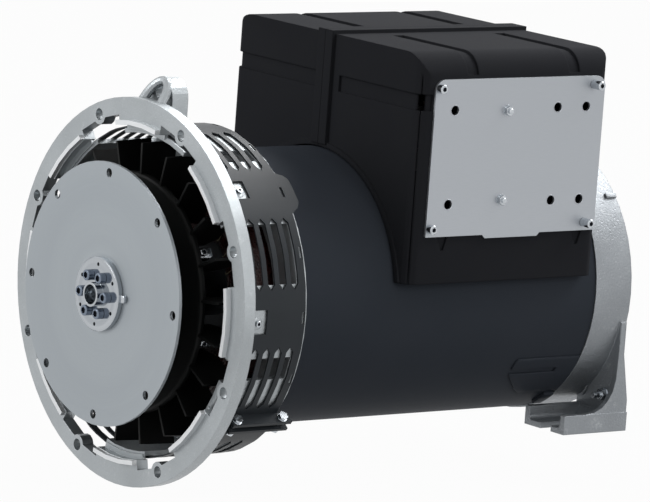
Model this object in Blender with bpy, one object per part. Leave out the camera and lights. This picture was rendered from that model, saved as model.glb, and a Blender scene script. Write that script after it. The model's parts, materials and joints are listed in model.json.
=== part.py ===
"""Generator alternator head: a single-bearing machine with an SAE 5 flange and an SAE 7.5 drive disc.

Lengths are in metres. Every mesh is drawn in the flange frame: the origin is the centre of the engine flange
face, +Y runs rearwards along the shaft and +Z is up. One empty carries that frame to its place above the floor.
"""

import bpy
import bmesh
from math import acos, asin, cos, pi, radians, sin, sqrt

from mathutils import Vector

GAP = 0.0003
OVERCUT = 0.002
WARP_LIMIT = 0.000002

# Engine flange, SAE J617 size 5: 355.6 mm outside, bolts on 333.4 mm, spigot of 314.3 mm
FLANGE_THICK = 0.012
FLANGE_EDGE = 0.0111
FLANGE_LAND = 0.0047
FLANGE_BOLTS = 8
FLANGE_HOLE = 0.011
BOSS_RADIUS = 0.0095
SPIGOT_INSET = 0.00485
SPIGOT_STEP = 0.00715
SPIGOT_WALL = 0.0042
SPIGOT_HEIGHT = 0.005
SPIGOT_SPAN = radians(23)

# Cast wall of the front shield
SHIELD_SHOULDER = 0.022
SHIELD_WALL = 0.0045
SHIELD_LENGTH = 0.090
SHIELD_SEAT_WIDTH = 0.0155
SHIELD_SEAT_THICK = 0.009
WALL_FRONT = 0.009
WEB_FRONT = 0.0075
WINDOW_REAR = 0.079
WINDOWS = ((-22.6, -14.1), (11.8, 33.2), (60.3, 67.0), (103.5, 121.0), (146.8, 168.2), (194.1, 202.6),
           (236.8, 258.2), (281.8, 303.2))

# Lifting eye on top of the front shield
EYE_BAR = 0.0045
EYE_SPREAD = 0.0145
EYE_RISE = 0.0213
EYE_LEAN = 0.0145
EYE_HOLE = 0.017
EYE_HOLE_RISE = 0.007
EYE_PLATE_WIDTH = 0.037
EYE_PLATE_RISE = 0.0195
EYE_PLATE_FRONT = 0.0215
EYE_PLATE_REAR = 0.039

# Vent screen wrapped round the cast wall; its angles are in degrees
SCREEN_SHEET = 0.0014
SCREEN_FRONT = 0.0125
SCREEN_REAR = 0.0875
SCREEN_END = -38.9
SLOT_CENTRES = (-22.5, 22.5, 67.5)
SLOT_HALF_SPAN = 12.6
SLOT_TIP = 2.0
SLOT_STEPS = (2.0,)
SLOT_WIDTH = 0.0078
SLOT_PITCH = 0.013
SLOT_FIRST = 0.0236
SLOTS = 5
SLIT_CENTRES = (-22.5, 0.0, 22.5, 45.0, 67.5, 90.0)
SLIT_HALF_SPAN = 2.0
SLIT_WIDTH = 0.0026
SLIT_PLACE = 0.0852
SIGHT_HOLES = ((43.0, 50.3, 0.034, 0.047), (-5.0, 3.4, 0.030, 0.045))
EYE_NOTCH = (82.3, 97.7, 0.0400)
LOBE = ((36.4, 0.0875), (38.4, 0.0950), (40.6, 0.0987), (50.3, 0.0987), (52.0, 0.0950), (53.3, 0.0875))
LOWER_START = -41.1
LOWER_SLOT_CENTRE = -67.5
LOWER_SLIT_CENTRES = (-67.5, -90.0)
LOWER_REAR = 0.093
EAR_HEIGHT = 0.013
EAR_SPAN = radians(1.1)
EAR_FRONT = 0.0335
EAR_REAR = 0.099
CLAMP_BOLT_PLACES = (0.0395, 0.090)
CLAMP_BOLT_DIA = 0.005

# Stator
HOUSING_WALL = 0.0035
HOUSING_REAR = 0.447
CORE_DEPTH = 0.0387
CORE_FRONT = 0.096
CORE_REAR = 0.340
CORE_SLOTS = 18
CORE_SLOT_DEPTH = 0.018
CORE_SLOT_OPEN = 0.009
WINDING_FRONT = 0.045
WINDING_REAR = 0.385
WINDING_DROP = 0.019
WINDING_STEP = 0.003
WINDING_CLEARANCE = 0.004
TIE_ROD_INSET = 0.00875
TIE_ROD_DIA = 0.008
TIE_ROD_NUT = 0.013
TIE_RODS = 4

# Rear shield and feet
REAR_LIP = 0.0016
REAR_DRAFT = 0.0014
REAR_FACE = 0.489
REAR_WALL = 0.0042
REAR_END_THICK = 0.007
BEARING_OD = 0.072
BEARING_BORE = 0.030
BEARING_WIDTH = 0.019
BEARING_FRONT = 0.4635
BEARING_BALLS = 7
BEARING_BALL = 0.0119
BALL_PLAY = 0.0005
HOUSING_BOSS_WALL = 0.008
SHAFT_HEIGHT = 0.132
FOOT_SETBACK = 0.001
FOOT_WIDTH = 0.058
FOOT_FRONT = 0.4205
FOOT_REAR = 0.497
FOOT_THICK = 0.018
FOOT_SLOT_WIDTH = 0.0152
FOOT_SLOT_PLACE = 0.1033
FOOT_SLOT_DEPTH = 0.030
FOOT_WEB = 0.006
FOOT_LEG_TOP = -0.027
FOOT_SIDE = ((0.4205, 0.0115), (0.4222, 0.0142), (0.4278, 0.0165), (0.4435, 0.0178), (0.4570, 0.0192),
             (0.4657, 0.0232), (0.4719, 0.0290), (0.4778, 0.0385), (0.4805, 0.0500), (0.4815, 0.0730),
             (0.4820, 0.1045), (0.4868, 0.1015), (0.4875, 0.0760), (0.4960, 0.0295))
EARTH_INSET = 0.0165
EARTH_RISE = 0.033
EARTH_DIA = 0.006
SPIDER_RIM = 0.0205
SPIDER_HUB = 0.014
GRILLE_RIM = 0.0203
GRILLE_SHEET = 0.0016
GRILLE_RINGS = (0.062, 0.080, 0.098)
GRILLE_SLOTS = 8
GRILLE_SLOT = 0.010
GRILLE_BAR = 0.008

# Terminal box
BOX_FRONT = 0.208
BOX_REAR = 0.432
BOX_HALF_WIDTH = 0.143
BOX_TOP = 0.2352
BOX_BOTTOM = 0.0225
BOX_WALL = 0.004
BOX_TOP_FILLET = 0.024
BOX_CORNER_FILLET = 0.014
BOX_RIDGE_HALF = 0.011
BOX_RIDGE_RISE = 0.0033
GROOVE_DEPTH = 0.0022
GROOVE_WIDTH = 0.0125
GROOVE_TOP_INNER = 0.028
FRONT_GROOVE_LOW = 0.183
FRONT_GROOVE_HIGH = 0.198
FRONT_GROOVE_LEFT = 0.014
FRONT_GROOVE_RIGHT = 0.021
TOP_GROOVES = (0.268, 0.388)
ARCH_CLEARANCE = 0.0012
ARCH_LIP = 0.005
ARCH_LIP_RISE = 0.002

# Outlet plate on the side of the box
PLATE_SHEET = 0.0025
PLATE_FRONT = 0.2235
PLATE_REAR = 0.4235
PLATE_LOW = 0.0668
PLATE_HIGH = 0.212
PLATE_CORNER = 0.010
PLATE_TAB_DROP = 0.0032
PLATE_TAB_FRONT = 0.290
PLATE_TAB_REAR = 0.358
PLATE_HOLE = 0.009
PLATE_HOLE_HIGH = 0.1835
PLATE_HOLE_LOW = 0.0965
PLATE_HOLE_PLACES = (0.247, 0.3685, 0.4025)
WINDOW_EDGES = (0.240, 0.410, 0.089, 0.191)
NOTCHES = ((0.2395, 0.2512), (0.3986, 0.4107))
NOTCH_TOP = 0.0657
NOTCH_TIP = 0.0535
NOTCH_DEPTH = 0.0022
STUD_PLACE = 0.3087
STUD_HIGH = 0.182
STUD_LOW = 0.099
STUD_DIA = 0.007
SCREW_PLACES = ((0.228, 0.204), (0.228, 0.0745), (0.410, 0.204), (0.410, 0.0745))
SCREW_HEAD_DIA = 0.0085
SCREW_HEAD = 0.011
SCREW_SHANK_DIA = 0.005

# Inside the terminal box
SADDLE_SHEET = 0.002
SADDLE_WIDTH = 0.124
SADDLE_RISE = 0.0042
BOARD_LENGTH = 0.120
BOARD_FRONT = 0.250
BOARD_WIDTH = 0.040
BOARD_THICK = 0.006
BOARD_STUDS = 6
REGULATOR_LENGTH = 0.110
REGULATOR_WIDTH = 0.060
REGULATOR_HEIGHT = 0.030

# Rotor
DISC_EDGE = 0.009525
DISC_STANDOUT = 0.0302
DISC_THICK = 0.003
DISC_BOLT_CIRCLE = 0.22225
DISC_HOLE = 0.0087
DISC_HOLES = 8
CLAMP_EDGE = 0.0065
CLAMP_THICK = 0.005
CLAMP_NOSE = 0.0068
CLAMP_NOSE_OD = 0.0224
CLAMP_NOSE_ID = 0.0182
CLAMP_JACK_CIRCLE = 0.055
CLAMP_JACK_HOLE = 0.0036
HUB_SCREWS = 6
HUB_SCREW_CIRCLE = 0.0375
HUB_SCREW_DIA = 0.006
HUB_HEAD_DIA = 0.010
HUB_HEAD = 0.0064
HUB_OD = 0.084
HUB_SLEEVE_OD = 0.068
HUB_REAR = 0.062
SHAFT_DIA = 0.050
SHAFT_FRONT = 0.004
SHAFT_REAR = 0.481
AIR_GAP = 0.0008
ROTOR_POLES = 4
POLE_WIDTH = 0.058
POLE_SHOE_THICK = 0.012
POLE_SHOE_SPAN = radians(66)
ROTOR_YOKE_WALL = 0.018
POLE_NECK = 0.0297
COIL_THICK = 0.014
COIL_SINK = 0.0025
COIL_HEIGHT = 0.012
FAN_RIM_DIA = 0.222
FAN_PLAY = 0.0055
FAN_BLADE_TAPER = 0.0015
FAN_FRONT = 0.0
FAN_REAR = 0.038
FAN_PLATE = 0.003
FAN_BLADES = 22
FAN_BLADE_THICK = 0.0024
FAN_BLADE_INNER = 0.176
FAN_HUB_DIA = 0.104
FAN_TURN = radians(5.9)
WEIGHT_ANGLES = (radians(29.5), radians(-15.5))
WEIGHT_SIZE = (0.010, 0.010, 0.020)
EXCITER_DEPTH = 0.034
EXCITER_ROTOR_DEPTH = 0.0259
EXCITER_FRONT = 0.420
EXCITER_REAR = 0.446
RECTIFIER_OD = 0.100
RECTIFIER_FRONT = 0.404
RECTIFIER_THICK = 0.005


def exact(value):
    """Drops the rounding error of a sum, so that equal sizes are equal numbers."""
    return round(value, 9)


# Values worked out from the sizes above, from the shaft outwards
ROTOR_YOKE_DIA = exact(SHAFT_DIA + 2 * ROTOR_YOKE_WALL)
COIL_LOW = exact(ROTOR_YOKE_DIA / 2 + COIL_SINK)
COIL_HIGH = exact(COIL_LOW + COIL_HEIGHT)
CORE_BORE = exact(ROTOR_YOKE_DIA + 2 * (POLE_NECK + POLE_SHOE_THICK + AIR_GAP))
HOUSING_OD = exact(CORE_BORE + 2 * (CORE_DEPTH + GAP + HOUSING_WALL))
WINDING_OD = exact(HOUSING_OD - 2 * WINDING_DROP)
WINDING_ID = exact(CORE_BORE + 2 * WINDING_STEP)
TIE_ROD_CIRCLE = exact(HOUSING_OD - 2 * TIE_ROD_INSET)
SHIELD_WALL_OD = exact(HOUSING_OD + 2 * SHIELD_SHOULDER)
SHIELD_SEAT_ID = exact(HOUSING_OD - 2 * SHIELD_SEAT_WIDTH)
FAN_BLADE_REAR_DIA = exact(SHIELD_WALL_OD - 2 * (SHIELD_WALL + FAN_PLAY))
FAN_BLADE_FRONT_DIA = exact(FAN_BLADE_REAR_DIA - 2 * FAN_BLADE_TAPER)
SPIGOT_OD = exact(SHIELD_WALL_OD + 2 * SPIGOT_STEP)
FLANGE_BORE = exact(SPIGOT_OD + 2 * SPIGOT_INSET)
FLANGE_BOLT_CIRCLE = exact(FLANGE_BORE + 2 * FLANGE_LAND)
FLANGE_OD = exact(FLANGE_BOLT_CIRCLE + 2 * FLANGE_EDGE)
DISC_OD = exact(DISC_BOLT_CIRCLE + 2 * DISC_EDGE)
CLAMP_OD = exact(CLAMP_JACK_CIRCLE + 2 * CLAMP_EDGE)
FLANGE_R = FLANGE_OD / 2
WALL_R = SHIELD_WALL_OD / 2
HOUSING_R = HOUSING_OD / 2
REAR_OD_FRONT = HOUSING_OD + 2 * REAR_LIP
REAR_OD_BACK = REAR_OD_FRONT + 2 * REAR_DRAFT
FOOT_OUTER = REAR_OD_BACK / 2 - FOOT_SETBACK
GRILLE_OD = REAR_OD_BACK - 2 * GRILLE_RIM
EXCITER_BORE = SHAFT_DIA + 2 * (GAP + EXCITER_ROTOR_DEPTH + AIR_GAP)
EXCITER_OD = exact(EXCITER_BORE + 2 * EXCITER_DEPTH)
SCREEN_R = WALL_R + 2 * GAP
CLAMP_FACE = -DISC_STANDOUT - GAP - CLAMP_THICK
FRONT_REACH = -CLAMP_FACE + CLAMP_NOSE
MID_LENGTH = (FOOT_REAR - FRONT_REACH) / 2
BOLT_STEP = 2 * pi / FLANGE_BOLTS


def clear_scene():
    for item in list(bpy.data.objects):
        bpy.data.objects.remove(item, do_unlink=True)


def material(name, colour, metallic, roughness):
    finish = bpy.data.materials.new(name)
    finish.use_nodes = True
    shader = finish.node_tree.nodes["Principled BSDF"]
    shader.inputs["Base Color"].default_value = (*colour, 1.0)
    shader.inputs["Metallic"].default_value = metallic
    shader.inputs["Roughness"].default_value = roughness
    finish.diffuse_color = (*colour, 1.0)
    return finish


def add(name, mesh_data, finish, closed=True):
    mesh = bpy.data.meshes.new(name)
    if closed:
        bmesh.ops.recalc_face_normals(mesh_data, faces=mesh_data.faces)
    mesh_data.to_mesh(mesh)
    mesh_data.free()
    mesh.shade_smooth()
    mesh.set_sharp_from_angle(angle=radians(30))
    mesh.materials.append(finish)
    item = bpy.data.objects.new(name, mesh)
    bpy.context.collection.objects.link(item)
    item.parent = FRAME
    return item


def cutter(name, mesh_data):
    item = add(name, mesh_data, MATERIALS["cast"])
    item.hide_render = True
    item.display_type = "WIRE"
    return item


def boolean(item, other, operation="DIFFERENCE"):
    cut = item.modifiers.new(other.name, "BOOLEAN")
    cut.operation = operation
    cut.solver = "EXACT"
    cut.object = other
    return item


def polar(radius, angle):
    return radius * cos(angle), radius * sin(angle)


def arc(radius, start, stop, steps, centre=(0.0, 0.0)):
    span = stop - start
    ring = (polar(radius, start + span * i / steps) for i in range(steps + 1))
    return [(centre[0] + u, centre[1] + v) for u, v in ring]


def circle(radius, steps, centre=(0.0, 0.0), turn=0.0):
    return arc(radius, turn, turn + 2 * pi, steps, centre)[:-1]


def along_y(u, v, w):
    return u, w, v


def along_x(u, v, w):
    return w, u, v


def prism(bm, loops, low, high, place=along_y):
    """Adds a flat shape with holes, given as closed loops, extruded from low to high."""
    start = []
    for loop in loops:
        verts = [bm.verts.new(place(u, v, low)) for u, v in loop]
        start += [bm.edges.new((verts[i], verts[i - 1])) for i in range(len(verts))]
    faces = bmesh.ops.triangle_fill(bm, edges=start, use_beauty=True)["geom"]
    faces = [f for f in faces if isinstance(f, bmesh.types.BMFace)]
    grown = bmesh.ops.extrude_face_region(bm, geom=faces, use_keep_orig=True)["geom"]
    tops = [v for v in grown if isinstance(v, bmesh.types.BMVert)]
    shift = [b - a for a, b in zip(place(0, 0, low), place(0, 0, high))]
    bmesh.ops.translate(bm, verts=tops, vec=shift)
    return bm


def turned(bm, profile, steps, start=0.0, turn=2 * pi):
    """Adds a closed (radius, y) profile spun about the shaft axis."""
    verts = [bm.verts.new((r * cos(start), y, r * sin(start))) for r, y in profile]
    edges = [bm.edges.new((verts[i - 1], verts[i])) for i in range(len(verts))]
    whole = turn > 2 * pi - 1e-6
    geom = list(edges) + list(verts)
    if not whole:
        geom = bmesh.ops.contextual_create(bm, geom=edges)["faces"]
    bmesh.ops.spin(bm, geom=geom, cent=(0, 0, 0), axis=(0, -1, 0), angle=turn, steps=steps,
                   use_merge=whole, use_duplicate=False)
    bmesh.ops.remove_doubles(bm, verts=bm.verts, dist=1e-6)
    loose = [e for e in bm.edges if not e.link_faces]
    bmesh.ops.delete(bm, geom=loose, context="EDGES")
    return bm


def rod(bm, centre, radius, low, high, steps, place=along_y, turn=0.0):
    return prism(bm, [circle(radius, steps, centre, turn)], low, high, place)


def new_mesh():
    return bmesh.new()


def stack(bm, sections, place=along_y):
    """Adds one solid through a row of outlines that all have the same number of points."""
    rings = [[bm.verts.new(place(u, v, w)) for u, v in outline] for outline, w in sections]
    for near, far in zip(rings, rings[1:]):
        for i in range(len(near)):
            bm.faces.new((near[i - 1], near[i], far[i], far[i - 1]))
    bm.faces.new(rings[0])
    bm.faces.new(rings[-1])
    return bm


def hexagon(across, centre=(0.0, 0.0)):
    """Twelve points of a hexagon: its corners and the middles of its sides."""
    corner = across / 2 / cos(pi / 6)
    points = [polar(across / 2 if k % 2 else corner, pi * k / 6) for k in range(12)]
    return [(centre[0] + u, centre[1] + v) for u, v in points]


def bolted(bm, steps, centre=(0.0, 0.0), place=along_y):
    """Adds a fastener from (shape, size, start, end) steps; the shape is "hex" or "round"."""
    sections = []
    for shape, size, start, end in steps:
        outline = hexagon(size, centre) if shape == "hex" else circle(size / 2, 12, centre)
        sections += [(outline, start), (outline, end)]
    return stack(bm, sections, place)


def in_plane(angle):
    """Draws (radius, y) outlines in the half plane at this angle; w runs across it."""
    return lambda u, v, w: (u * cos(angle) - w * sin(angle), v, u * sin(angle) + w * cos(angle))


def spot(angle, radial, lateral):
    return radial * cos(angle) - lateral * sin(angle), radial * sin(angle) + lateral * cos(angle)


def repeat(item, name, angles):
    """Gives a piece drawn at angle zero one linked copy for each angle round the shaft."""
    item.name = name + "_1"
    item.rotation_euler.y = -angles[0]
    for k, angle in enumerate(angles[1:]):
        twin = item.copy()
        twin.name = name + "_" + str(k + 2)
        twin.rotation_euler.y = -angle
        bpy.context.collection.objects.link(twin)
    return item


def box(bm, low, high):
    rectangle = [(low[0], low[2]), (high[0], low[2]), (high[0], high[2]), (low[0], high[2])]
    return prism(bm, [rectangle], low[1], high[1])


def wedge(bm, inner, outer, start, stop, low, high, steps=1):
    """Adds a sector of a ring: a curved block between two radii and two angles."""
    outline = arc(inner, start, stop, steps) + arc(outer, stop, start, steps)
    return prism(bm, [outline], low, high)


def bolt_angles():
    return [BOLT_STEP * (k + 0.5) for k in range(FLANGE_BOLTS)]


def spigot_angles():
    return [BOLT_STEP * k for k in range(FLANGE_BOLTS)]


def rod_angles():
    return [2 * pi * (k + 0.5) / TIE_RODS for k in range(TIE_RODS)]


def flange_inside():
    """Inside edge of the flange: spigot segments between scalloped bosses round the bolt holes."""
    bore = FLANGE_BORE / 2
    pitch = FLANGE_BOLT_CIRCLE / 2
    spigot = SPIGOT_OD / 2 - SPIGOT_WALL
    land = SPIGOT_SPAN / 2 + 0.004
    half = acos((bore ** 2 + pitch ** 2 - BOSS_RADIUS ** 2) / (2 * bore * pitch))
    swing = asin(bore * sin(half) / BOSS_RADIUS)
    outline = []
    for k in range(FLANGE_BOLTS):
        middle = BOLT_STEP * k
        bolt = middle + BOLT_STEP / 2
        outline += arc(spigot - GAP, middle - land, middle + land, 3)
        outline += arc(bore, middle + land, bolt - half, 1)
        outline += arc(BOSS_RADIUS, bolt + pi + swing, bolt + pi - swing, 4, polar(pitch, bolt))[1:-1]
        outline += arc(bore, bolt + half, middle + BOLT_STEP - land, 1)
    return outline


def make_front_shield():
    """Flange ring, spigot segments, eight arms, the cast wall with its windows and the seat of the stator."""
    ring = prism(new_mesh(), [circle(FLANGE_R, 80), flange_inside()], 0, FLANGE_THICK)
    shield = add("front_shield", ring, MATERIALS["cast"])

    inner = WALL_R - SHIELD_WALL
    web_rear = FLANGE_THICK - 0.001
    segments = new_mesh()
    arms = new_mesh()
    for angle in spigot_angles():
        wedge(segments, SPIGOT_OD / 2 - SPIGOT_WALL, SPIGOT_OD / 2, angle - SPIGOT_SPAN / 2,
              angle + SPIGOT_SPAN / 2, -SPIGOT_HEIGHT, FLANGE_THICK / 2, 3)
        wedge(arms, WALL_R - SHIELD_WALL / 2, SPIGOT_OD / 2, angle - SPIGOT_SPAN / 2 + 0.005,
              angle + SPIGOT_SPAN / 2 - 0.005, WEB_FRONT, web_rear, 3)
    boolean(shield, cutter("spigot_segments", segments), "UNION")
    boolean(shield, cutter("arms", arms), "UNION")

    seat_front = SHIELD_LENGTH - SHIELD_SEAT_THICK
    seat = SHIELD_SEAT_ID / 2
    profile = [(inner, WALL_FRONT), (WALL_R, WALL_FRONT), (WALL_R, SHIELD_LENGTH), (seat, SHIELD_LENGTH),
               (seat, seat_front), (inner, seat_front)]
    boolean(shield, cutter("cast_wall", turned(new_mesh(), profile, 48, 0.013)), "UNION")

    cuts = new_mesh()
    for start, stop in WINDOWS:
        wedge(cuts, inner - OVERCUT, WALL_R + OVERCUT / 2, radians(start), radians(stop), WEB_FRONT / 2,
              WINDOW_REAR, 2)
    for angle in rod_angles():
        rod(cuts, polar(TIE_ROD_CIRCLE / 2, angle), TIE_ROD_DIA / 2 + GAP, seat_front - OVERCUT,
            SHIELD_LENGTH + OVERCUT, 8)
    for angle in bolt_angles():
        rod(cuts, polar(FLANGE_BOLT_CIRCLE / 2, angle), FLANGE_HOLE / 2, -OVERCUT, web_rear + 2 * OVERCUT, 12)
    boolean(shield, cutter("wall_windows", cuts))

    boolean(shield, lifting_plate(), "UNION")
    boolean(shield, lifting_loop(), "UNION")
    return shield


def lifting_plate():
    """Upright lug: straight sides, a round head and a hole for the hook."""
    half = EYE_PLATE_WIDTH / 2
    head = FLANGE_R + EYE_PLATE_RISE - half
    root = WALL_R - SHIELD_WALL / 2
    outline = [(half, root), (half, head)] + arc(half, 0, pi, 10, (0, head))[1:-1] + [(-half, head), (-half, root)]
    hole = circle(EYE_HOLE / 2, 14, (0.0, FLANGE_R + EYE_HOLE_RISE))
    return cutter("lifting_plate", prism(new_mesh(), [outline, hole], EYE_PLATE_FRONT, EYE_PLATE_REAR))


def lifting_loop():
    """Round bar that springs from the rim, arches rearwards and dies into the lug."""
    foot = sqrt((FLANGE_R - EYE_BAR) ** 2 - EYE_SPREAD ** 2)
    path = []
    for i in range(11):
        angle = pi * i / 10
        rise = sin(angle) ** 0.8 if 0 < i < 10 else 0.0
        path.append(Vector((-EYE_SPREAD * cos(angle), FLANGE_THICK / 2 + EYE_BAR + EYE_LEAN * rise,
                            foot + EYE_RISE * rise)))
    across = Vector((0.0, EYE_RISE, -EYE_LEAN)).normalized()
    sections = []
    for i, point in enumerate(path):
        run = (path[min(i + 1, 10)] - path[max(i - 1, 0)]).normalized()
        side = run.cross(across)
        sections.append([point + EYE_BAR * (u * across + v * side) for u, v in circle(1.0, 10)])
    loop = new_mesh()
    rings = [[loop.verts.new(p) for p in section] for section in sections]
    for near, far in zip(rings, rings[1:]):
        for i in range(len(near)):
            loop.faces.new((near[i - 1], near[i], far[i], far[i - 1]))
    loop.faces.new(rings[0])
    loop.faces.new(rings[-1])
    return cutter("lifting_loop", loop)


def slot_holes(centre):
    """One group of pointed slots, as (first, last, low, high, tip) in degrees and metres."""
    holes = []
    for k in range(SLOTS):
        middle = SLOT_FIRST + k * SLOT_PITCH
        holes.append((centre - SLOT_HALF_SPAN, centre + SLOT_HALF_SPAN, middle - SLOT_WIDTH / 2,
                      middle + SLOT_WIDTH / 2, SLOT_TIP))
    return holes


def slit_hole(centre):
    return (centre - SLIT_HALF_SPAN, centre + SLIT_HALF_SPAN, SLIT_PLACE - SLIT_WIDTH / 2,
            SLIT_PLACE + SLIT_WIDTH / 2, 0.0)


def mirrored(holes, axis=90.0):
    """The holes with their copies on the other side of the given angle."""
    copies = [(2 * axis - last, 2 * axis - first, low, high, tip) for first, last, low, high, tip in holes]
    return holes + [hole for hole in copies if abs(hole[0] + hole[1] - 2 * axis) > 0.1]


def hole_rows(hole, angle):
    first, last, low, high, tip = hole
    if tip and min(abs(angle - first), abs(angle - last)) < 1e-6:
        return (low + high) / 2, (low + high) / 2
    return low, high


def sheet_columns(holes, centres, extra):
    """Angles of the folds: the ends of each hole, the shoulders of its tips and steps between them."""
    angles = set(extra)
    for first, last, low, high, tip in holes:
        angles.update((first, last, first + tip, last - tip))
    for centre in centres:
        for step in SLOT_STEPS:
            angles.update((centre - step, centre + step))
    ordered = sorted(angles)
    return [a for i, a in enumerate(ordered) if i == 0 or a - ordered[i - 1] > 1e-6]


def pierced_sheet(columns, front, rear_at, holes, radius):
    """Wraps a flat sheet with holes round the shaft axis; each strip between two columns is flat."""
    bm = new_mesh()
    grid = []
    for angle in columns:
        rows = {front, rear_at(angle)}
        for hole in holes:
            if hole[0] - 1e-6 < angle < hole[1] + 1e-6:
                rows.update(hole_rows(hole, angle))
        x, z = polar(radius, radians(angle))
        grid.append([(y, bm.verts.new((x, y, z))) for y in sorted(rows)])
    for i in range(len(columns) - 1):
        left, right = columns[i], columns[i + 1]
        cut = [h for h in holes if h[0] < left + 1e-6 and h[1] > right - 1e-6]
        steps = [(hole_rows(h, left), hole_rows(h, right)) for h in sorted(cut, key=lambda h: h[2])]
        steps.append(((rear_at(left), None), (rear_at(right), None)))
        low_left = low_right = front
        for (high_left, next_left), (high_right, next_right) in steps:
            ring = [v for y, v in grid[i] if low_left - 1e-7 < y < high_left + 1e-7]
            ring += reversed([v for y, v in grid[i + 1] if low_right - 1e-7 < y < high_right + 1e-7])
            if len(ring) > 2:
                bm.faces.new(ring)
            low_left, low_right = next_left, next_right
    for face in bm.faces:
        face.normal_update()
        centre = face.calc_center_median()
        if face.normal.x * centre.x + face.normal.z * centre.z < 0:
            face.normal_flip()
    return bm


def lobe_rear(angle):
    """Rear edge of the upper screen: straight, with one lobe on each side."""
    side = min(angle, 180.0 - angle)
    for (a, y), (b, z) in zip(LOBE, LOBE[1:]):
        if a <= side <= b:
            return y + (z - y) * (side - a) / (b - a)
    return SCREEN_REAR


def thicken(item, depth):
    solid = item.modifiers.new("sheet", "SOLIDIFY")
    solid.thickness = depth
    solid.offset = 1.0
    solid.use_even_offset = True
    return item


def screen_ears(name, angles, piece):
    """Turned-out ears along the split, each with two bolt holes."""
    ears = new_mesh()
    for start, stop in angles:
        wedge(ears, SCREEN_R + SCREEN_SHEET / 2, SCREEN_R + EAR_HEIGHT, radians(start), radians(stop),
              EAR_FRONT, EAR_REAR)
    boolean(piece, cutter(name, ears), "UNION")
    drills = new_mesh()
    for side in (radians(SCREEN_END + LOWER_START) / 2, pi - radians(SCREEN_END + LOWER_START) / 2):
        for y in CLAMP_BOLT_PLACES:
            centre = (SCREEN_R + EAR_HEIGHT * 0.58, y)
            rod(drills, centre, CLAMP_BOLT_DIA / 2 + GAP, -0.010, 0.010, 12, in_plane(side))
    boolean(piece, cutter(name + "_drills", drills))


def make_vent_screen():
    holes = []
    for centre in SLOT_CENTRES:
        holes += slot_holes(centre)
    holes += [slit_hole(centre) for centre in SLIT_CENTRES]
    holes += [(first, last, low, high, 0.0) for first, last, low, high in SIGHT_HOLES]
    holes = mirrored(holes)
    holes.append((EYE_NOTCH[0], EYE_NOTCH[1], SCREEN_FRONT, EYE_NOTCH[2], 0.0))
    lobes = [angle for angle, y in LOBE]
    extra = [SCREEN_END, 180.0 - SCREEN_END] + lobes + [180.0 - angle for angle in lobes]
    centres = list(SLOT_CENTRES) + [180.0 - c for c in SLOT_CENTRES]
    columns = sheet_columns(holes, centres, extra)
    sheet = pierced_sheet(columns, SCREEN_FRONT, lobe_rear, holes, SCREEN_R)
    screen = thicken(add("vent_screen", sheet, MATERIALS["screen"], False), SCREEN_SHEET)
    ear = EAR_SPAN * 180 / pi
    near = (SCREEN_END, SCREEN_END + ear)
    screen_ears("screen_ears", [near, (180.0 - near[1], 180.0 - near[0])], screen)
    return screen


def make_lower_panel():
    holes = slot_holes(LOWER_SLOT_CENTRE) + [slit_hole(centre) for centre in LOWER_SLIT_CENTRES]
    holes = mirrored(holes, -90.0)
    centres = (LOWER_SLOT_CENTRE, -180.0 - LOWER_SLOT_CENTRE)
    columns = sheet_columns(holes, centres, [LOWER_START, -180.0 - LOWER_START, -48.0, -132.0])
    sheet = pierced_sheet(columns, SCREEN_FRONT, lambda angle: LOWER_REAR, holes, SCREEN_R)
    panel = thicken(add("screen_lower_panel", sheet, MATERIALS["screen"], False), SCREEN_SHEET)
    ear = EAR_SPAN * 180 / pi
    near = (LOWER_START - ear, LOWER_START)
    screen_ears("panel_ears", [near, (-180.0 - near[1], -180.0 - near[0])], panel)
    return panel


def make_clamp_bolts():
    """Bolt, washer face and nut as one piece, across the split between the two screens."""
    side = radians(SCREEN_END + LOWER_START) / 2
    reach = (SCREEN_R + EAR_HEIGHT) * (radians(SCREEN_END) - side + EAR_SPAN) + GAP
    steps = (("hex", 0.008, -reach - 0.004, -reach), ("round", CLAMP_BOLT_DIA, -reach, reach),
             ("hex", 0.008, reach, reach + 0.0035))
    angles = (side, side, pi - side, pi - side)
    for k, angle in enumerate(angles):
        centre = (SCREEN_R + EAR_HEIGHT * 0.58, CLAMP_BOLT_PLACES[k % 2])
        bolt = bolted(new_mesh(), steps, centre, in_plane(angle))
        add("clamp_bolt_" + str(k + 1), bolt, MATERIALS["fastener"])


def make_stator_housing():
    tube = turned(new_mesh(), [(HOUSING_R, SHIELD_LENGTH + GAP), (HOUSING_R, HOUSING_REAR),
                               (HOUSING_R - HOUSING_WALL, HOUSING_REAR),
                               (HOUSING_R - HOUSING_WALL, SHIELD_LENGTH + GAP)], 64)
    return add("stator_housing", tube, MATERIALS["housing"])


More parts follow.
